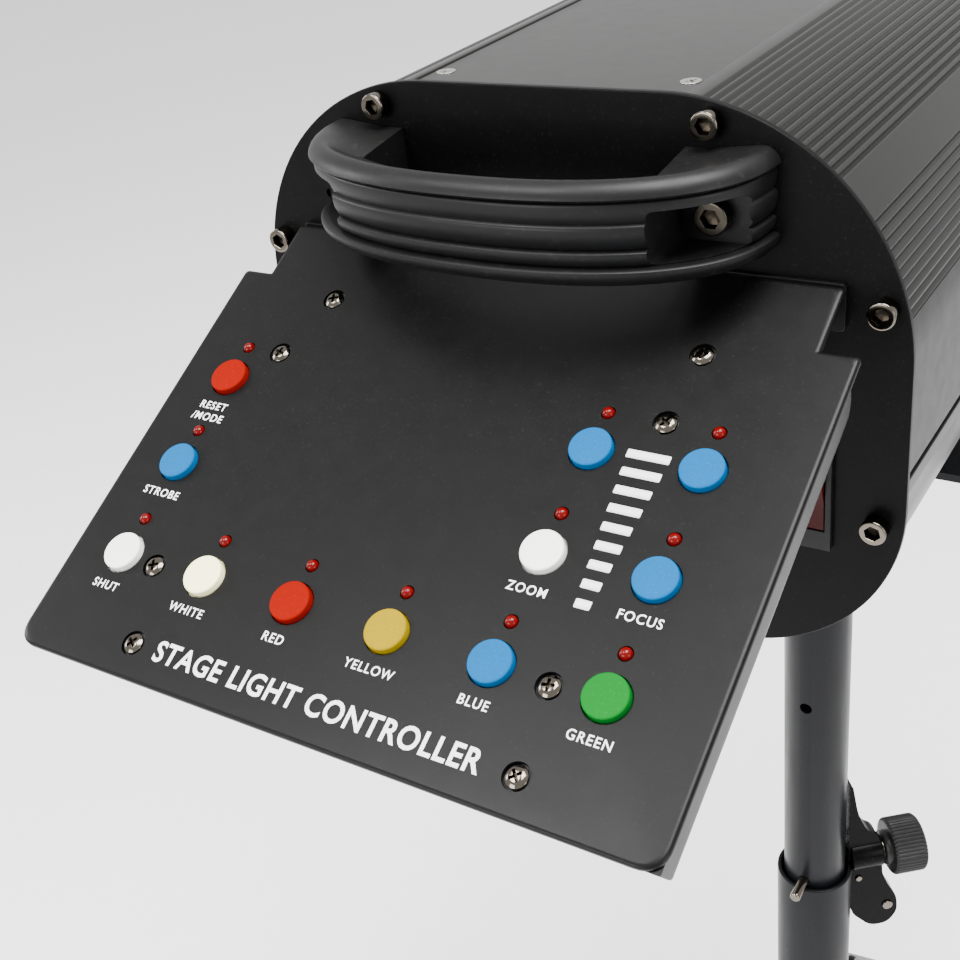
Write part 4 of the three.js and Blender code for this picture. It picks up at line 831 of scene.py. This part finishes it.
def add_barrel():
    start = FRONT_Y + GAP
    seat = NOSE_Y - 20
    tube = rounded([(BARREL_BORE, start), (FLANGE_R, start), (FLANGE_R, start + 5),
                    (BARREL_R + 2, start + 8, 3), (BARREL_R, start + 14, 3), (BARREL_R, seat),
                    (BARREL_BORE, seat)], 0.8, closed=True)
    piece("lens_tube_shell", lathe("lens_tube_shell", tube, along_y(0), 128, True), "head", "housing_coat",
          ["lens_tube"])
    back = NOSE_Y - 34
    rim = [(BARREL_R + 0.4, back), (BEZEL_R, back, 1.2)]
    for i in range(4):
        y = back + 5 + i * 5
        floor = BEZEL_R - GROOVE_DEPTH
        rim += [(BEZEL_R, y), (floor, y + 0.6), (floor, y + 2.2), (BEZEL_R, y + 2.8)]
    step, rest = NOSE_Y - 17.5, NOSE_Y - 19.7
    rim += [(BEZEL_R, NOSE_Y - 4), (84, NOSE_Y, 2), (73, NOSE_Y, 1), (BEZEL_BORE, NOSE_Y - 14.7),
            (BEZEL_BORE, step), (LENS_R + 0.4, step), (LENS_R + 0.4, rest), (BARREL_R + 0.4, rest)]
    bezel = lathe("lens_bezel_ring", rounded(rim, 0.5, closed=True), along_y(0), 128, True)
    piece("lens_bezel_ring", bezel, "head", "plate_coat", ["lens_bezel"])
    lens = [(0, NOSE_Y - 23.9), (LENS_R, NOSE_Y - 23.9), (LENS_R, NOSE_Y - 17.9)]
    for degrees in range(90, -1, -6):
        share = math.sin(math.radians(degrees))
        lens.append((DOME_R * share, NOSE_Y - 17.8 + DOME_RISE * (1 - share ** 2)))
    glass = lathe("front_lens_glass", lens, along_y(0), 96)
    piece("front_lens_glass", glass, "head", "lens_glass", ["front_lens"])


# ------------------------------------------------------------------ knobs
def knob_mesh(name, radius, thickness, lobes, depth, power=1.0, neck=0.45):
    """Grip along +Z from the origin, fluted all round, with a dished face and a neck behind."""
    segments = lobes * 12
    neck_r, dish = radius * neck, thickness - 1.2
    profile = rounded([(neck_r, -4), (neck_r, 0), (radius - 1.5, 0), (radius, 1.5), (radius, thickness - 2),
                       (radius - 2, thickness), (radius * 0.62, thickness), (radius * 0.55, dish),
                       (0, dish)], 0.9, steps=4)
    rings = []
    for r, z in profile:
        ring = []
        share = max(0.0, min(1.0, (r / radius - 0.8) / 0.15))
        for k in range(segments):
            angle = 2 * math.pi * k / segments
            wave = (0.5 + 0.5 * math.cos(lobes * angle)) ** power
            reach = r - depth * share * (1 - wave)
            ring.append((reach * math.cos(angle), reach * math.sin(angle), z))
        rings.append(ring)
    rings.insert(0, [(0, 0, profile[0][1])] * segments)
    return loft(name, rings, MM)


def add_knob(name, start, direction, mesh, shank, shank_radius):
    """A knob's grip and screw. The screw's tip is shank millimetres from start, along direction."""
    place = unscaled(MM @ aim(start, direction))
    piece(name + "_grip", mesh, name, "knob_black", [name], place=place)
    along = Vector(direction).normalized()
    tip = Vector(start) + along * shank
    screw = rod(name + "_screw", tip, Vector(start) - along * 2, shank_radius, MM, 0.8)
    piece(name + "_screw", screw, name, "thread_steel")


# ------------------------------------------------------------------ mast and stand
RIM_Z = 685
OUTER_R = 27.5
OUTER_BORE = 24.5
SLEEVE_BORE = 22.8
INNER_R = 22.5
INNER_BORE = 20.5
INNER_LOW = 235
SHOULDER_Z = 1005
MAST_TOP = 1050
COLLAR_R = 28.8
SPIGOT_BORE = 14.3
SPIGOT_SCREW_Z = 1027
PIN_Z = RIM_Z + 4.3
PIN_PITCH = 167.5
PIN_HOLE_R = 4.3
CLAMP_Z = 690
# The clamp's web, as [reach from the mast's axis, height, corner radius].
CLAMP_WEB = [(26, 640, 1), (30, 628, 4), (44, 612.5, 6), (58, 612.5, 6), (65.5, 624, 6), (64.5, 640, 6),
             (57, 655, 5), (52, 668, 5), (50, 700, 5), (46, 712, 4), (38, 717.5, 5), (31, 735, 9),
             (26.5, 763, 2), (24.3, 765, 0.8), (24.3, RIM_Z + 2, 0.5), (26, RIM_Z - 1, 0.5)]


def add_mast():
    inner = rounded([(INNER_BORE, INNER_LOW), (INNER_R, INNER_LOW), (INNER_R, SHOULDER_Z),
                     (COLLAR_R, SHOULDER_Z + 4, 1.5), (COLLAR_R, MAST_TOP, 1.5), (SPIGOT_BORE, MAST_TOP),
                     (SPIGOT_BORE, SHOULDER_Z), (INNER_BORE, SHOULDER_Z - 8)], 0.6, closed=True)
    mesh = lathe("mast_inner_tube", inner, STAND, 96, True)
    tube = piece("mast_inner_tube", mesh, "mast", "steel_black", ["mast_inner"])
    heights = [PIN_Z + i * PIN_PITCH for i in (-2, -1, 0, 1)]
    holes = [rod("hole", (0, -40, z), (0, 40, z), PIN_HOLE_R, MM, 0, 40) for z in heights]
    holes.append(rod("hole", (-40, 0, SPIGOT_SCREW_Z), (-5, 0, SPIGOT_SCREW_Z), PIN_HOLE_R, MM, 0, 40))
    carve(tube, holes)
    tube.data.set_sharp_from_angle(angle=math.radians(35))
    outer = rounded([(0, 20), (OUTER_R, 20), (OUTER_R, RIM_Z, 1.4), (OUTER_BORE, RIM_Z, 0.8),
                     (OUTER_BORE, RIM_Z - 14), (SLEEVE_BORE, RIM_Z - 16), (SLEEVE_BORE, RIM_Z - 70),
                     (OUTER_BORE, RIM_Z - 72), (OUTER_BORE, 24), (0, 24)], 0.6)
    mesh = lathe("mast_outer_tube", outer, STAND, 96)
    piece("mast_outer_tube", mesh, "stand", "steel_black", ["mast_outer"])


def add_clamp():
    """The mast's clamp: its web, boss, pins, knob and washers."""
    direction = Vector(JOINTS["mast_knob_turn"]["axis"])
    turn = Matrix.Rotation(math.atan2(direction.y, direction.x), 4, "Z")
    # Web and boss take the clamp black, darkened as painted shade.
    outline = rounded(CLAMP_WEB, 2, closed=True, steps=6)
    web = slab("clamp_web", [outline], -6, 6, STAND @ turn @ Matrix.Rotation(math.pi / 2, 4, "X"))
    piece("clamp_web", web, "stand", "clamp_black_painted_shade", edge=2.2, segments=4, angle=40)

    def along(reach, height=CLAMP_Z):
        return direction * reach + Vector((0, 0, height))

    mesh = rod("clamp_boss", along(26), along(51), 13, STAND, 1.5, 48)
    boss = piece("clamp_boss", mesh, "stand", "clamp_black_painted_shade")
    carve(boss, [rod("bore", along(45), along(55), 4.4, MM, 0, 32)])
    across = Vector((-direction.y, direction.x, 0))
    for name, reach, height, radius in (("clamp_pin", 57, 633, 4.2), ("clamp_rivet", 33, 668, 2.6)):
        end = along(reach, height)
        mesh = rod(name, end - across * 7.5, end + across * 7.5, radius, STAND, 0.9)
        piece(name, mesh, "stand", "nickel")
    start = Vector(JOINTS["mast_knob_turn"]["pos_m"]) * 1000
    add_knob("mast_knob", start, direction, knob_mesh("mast_grip", 21.5, 25, 44, 0.9, 0.6, 0.6), -33, 4)
    for name, reach, radius, thick in (("knob_washer_1", 51.2, 9.5, 1.3), ("knob_washer_2", 52.6, 7.2, 1.0)):
        ring = rounded([(4.2, 0), (radius, 0), (radius, thick), (4.2, thick)], 0.3, closed=True)
        washer = lathe(name, ring, STAND @ aim(along(reach), direction), 48, True)
        piece(name, washer, "mast_knob", "nickel")


def add_mast_fittings():
    start = Vector(JOINTS["pan_knob_turn"]["pos_m"]) * 1000
    add_knob("pan_knob", start, (-1, 0, 0), knob_mesh("pan_grip", 18, 16, 6, 2.2), -25, 4)
    profile = rounded([(0, -42), (3, -42), (4, -40.5, 0.8), (4, 29.5), (3, 31), (0, 31)], 0.4)
    across = STAND @ Matrix.Translation((0, 0, PIN_Z)) @ Matrix.Rotation(-math.pi / 2, 4, "X")
    pin = lathe("lock_pin_bar", profile, across, 48)
    piece("lock_pin_bar", pin, "lock_pin", "nickel", ["lock_pin"])


TILT_KNOB_X = 160.3
TILT_WASHER_X = 156.1


def add_yoke():
    dress("yoke_bracket", "steel_black", 0.8, segments=3)
    dress("yoke_spigot", "steel_black", 0.6)
    ring = rounded([(5.6, 0), (14, 0), (14, 1.8), (5.6, 1.8)], 0.4, closed=True)
    for side, label in ((-1, "left"), (1, "right")):
        name = "tilt_knob_" + label
        grip = knob_mesh("tilt_grip_" + label, 25, 20, 8, 2.6)
        add_knob(name, (side * TILT_KNOB_X, 0, TILT_Z), (side, 0, 0), grip, -20, 5)
        seat = MM @ aim((side * TILT_WASHER_X, 0, TILT_Z), (side, 0, 0))
        washer = lathe("tilt_washer_" + label, ring, seat, 48, True)
        piece("tilt_washer_" + label, washer, name, "nickel")


LEG_ANGLE = math.radians(40)
LEG_HINGE = (48, 520)
LEG_LENGTH = (LEG_HINGE[1] - 11) / math.cos(LEG_ANGLE)
LEG_DIRECTIONS = (90, 210, 330)
FOOT_PROFILE = [(0, 0), (18, 0, 1.5), (18, 9, 2), (15.5, 12, 2), (15.5, 20, 3), (9, 25.5, 4), (0, 26)]


def on_leg(distance, y=0.0):
    """A point of a leg's centre line, so far down from its hinge."""
    x, z = LEG_HINGE
    return Vector((x + distance * math.sin(LEG_ANGLE), y, z - distance * math.cos(LEG_ANGLE)))


def add_tripod():
    dress("leg_hub", "steel_black", 0.6)
    dress("spreader_hub", "steel_black", 0.6)
    for i, angle in enumerate(LEG_DIRECTIONS, 1):
        body = f"leg_{i}"
        turn = STAND @ Matrix.Rotation(math.radians(angle), 4, "Z")
        tube = rod(body + "_tube", on_leg(28), on_leg(LEG_LENGTH - 8), 12.5, turn, 2.0, 56)
        piece(body + "_tube", tube, body, "steel_black", [body])
        shank = rod(body + "_shank", on_leg(4), on_leg(34), 9, turn, 1.0)
        piece(body + "_shank", shank, body, "steel_black")
        mesh = rod(body + "_eye", on_leg(0, -12), on_leg(0, 12), 9, turn, 1.2)
        eye = piece(body + "_eye", mesh, body, "steel_black")
        carve(eye, [rod("bore", on_leg(0, -20), on_leg(0, 20), 4.3, turn, 0, 32)])
        ground = turn @ Matrix.Translation((on_leg(LEG_LENGTH).x, 0, 0))
        foot = lathe(body + "_foot", rounded(FOOT_PROFILE, 1, steps=5), ground, 64)
        piece(body + "_foot", foot, body, "foot_rubber")
        dress(f"strut_{i}", "steel_black", 0.5)


# ------------------------------------------------------------------ inside
def add_inside():
    for node in ("chassis", "led_engine", "power_supply", "zoom_carriage", "focus_carriage", "colour_wheel"):
        dress(node, "bare_aluminium", 0.3)
    for node in ("guide_rod_left", "guide_rod_right"):
        dress(node, "nickel", 0.4)
    dress("wheel_motor", "steel_black", 0.8)
    for node in ("fan_frame", "fan_rotor"):
        dress(node, "moulded_black", 0.4)


# ------------------------------------------------------------------ camera, lights and floor
def add_camera():
    """The photograph's view. The camera's place is taken from the tilt axis and the rear plate."""
    data = bpy.data.cameras.new("camera")
    data.lens = 50.47
    data.sensor_width = 36
    data.clip_start = 0.01
    camera = bpy.data.objects.new("camera", data)
    bpy.context.scene.collection.objects.link(camera)
    right = Vector((0.84127, 0.52847, -0.11393))
    down = Vector((0.18659, -0.48164, -0.85628))
    forward = Vector((-0.50739, 0.69911, -0.50379))
    turn = Matrix((right, -down, -forward)).transposed().to_4x4()
    place = HEAD @ Matrix.Translation((252.4, REAR_Y - 409.6, 234.7))
    camera.matrix_world = Matrix.Translation(place.to_translation()) @ turn
    bpy.context.scene.camera = camera


def area_light(name, place, target, size, power):
    data = bpy.data.lights.new(name, "AREA")
    data.shape = "RECTANGLE"
    data.size, data.size_y = size
    data.energy = power
    light = bpy.data.objects.new(name, data)
    bpy.context.scene.collection.objects.link(light)
    look = Vector(target) - Vector(place)
    light.matrix_world = Matrix.Translation(place) @ look.to_track_quat("-Z", "Y").to_matrix().to_4x4()


def add_studio():
    area_light("overhead", (0.7, -0.4, 3.9), (0.1, -0.1, 1.2), (2.0, 1.6), 330)
    area_light("key_left", (-3.2, -1.2, 2.2), (0, -0.2, 1.2), (1.0, 1.4), 70)
    area_light("side_right", (3.2, -1.4, 1.7), (0, 0.1, 1.1), (1.0, 1.6), 50)
    area_light("high_left", (-1.0, -1.55, 3.5), (0.1, -0.5, 1.2), (0.9, 0.8), 75)
    area_light("front_low", (-0.9, -3.0, 1.5), (0, -0.3, 1.1), (1.4, 1.0), 60)
    world = bpy.data.worlds.new("studio")
    world.use_nodes = True
    background = world.node_tree.nodes["Background"]
    background.inputs["Color"].default_value = (1, 1, 1, 1)
    background.inputs["Strength"].default_value = 1.35
    bpy.context.scene.world = world
    corners = [(-9, -9, 0), (9, -9, 0), (9, 9, 0), (-9, 9, 0)]
    floor = to_mesh("floor", corners, [(0, 1, 2, 3)], Matrix.Identity(4))
    floor.materials.append(finish("floor_white", (0.93, 0.93, 0.93), 0.6, grain=2, bump=0.01, blotch=0.01))
    obj = bpy.data.objects.new("floor", floor)
    bpy.context.scene.collection.objects.link(obj)
    obj.location.z = -0.0005


# ------------------------------------------------------------------ build
add_camera()
add_studio()
add_housing()
add_end_plates()
add_handle()
add_panel()
add_tray()
add_buttons()
add_board()
add_labels()
add_sockets()
add_barrel()
add_inside()
add_yoke()
add_mast()
add_clamp()
add_mast_fittings()
add_tripod()
add_screws()

bpy.context.view_layer.update()
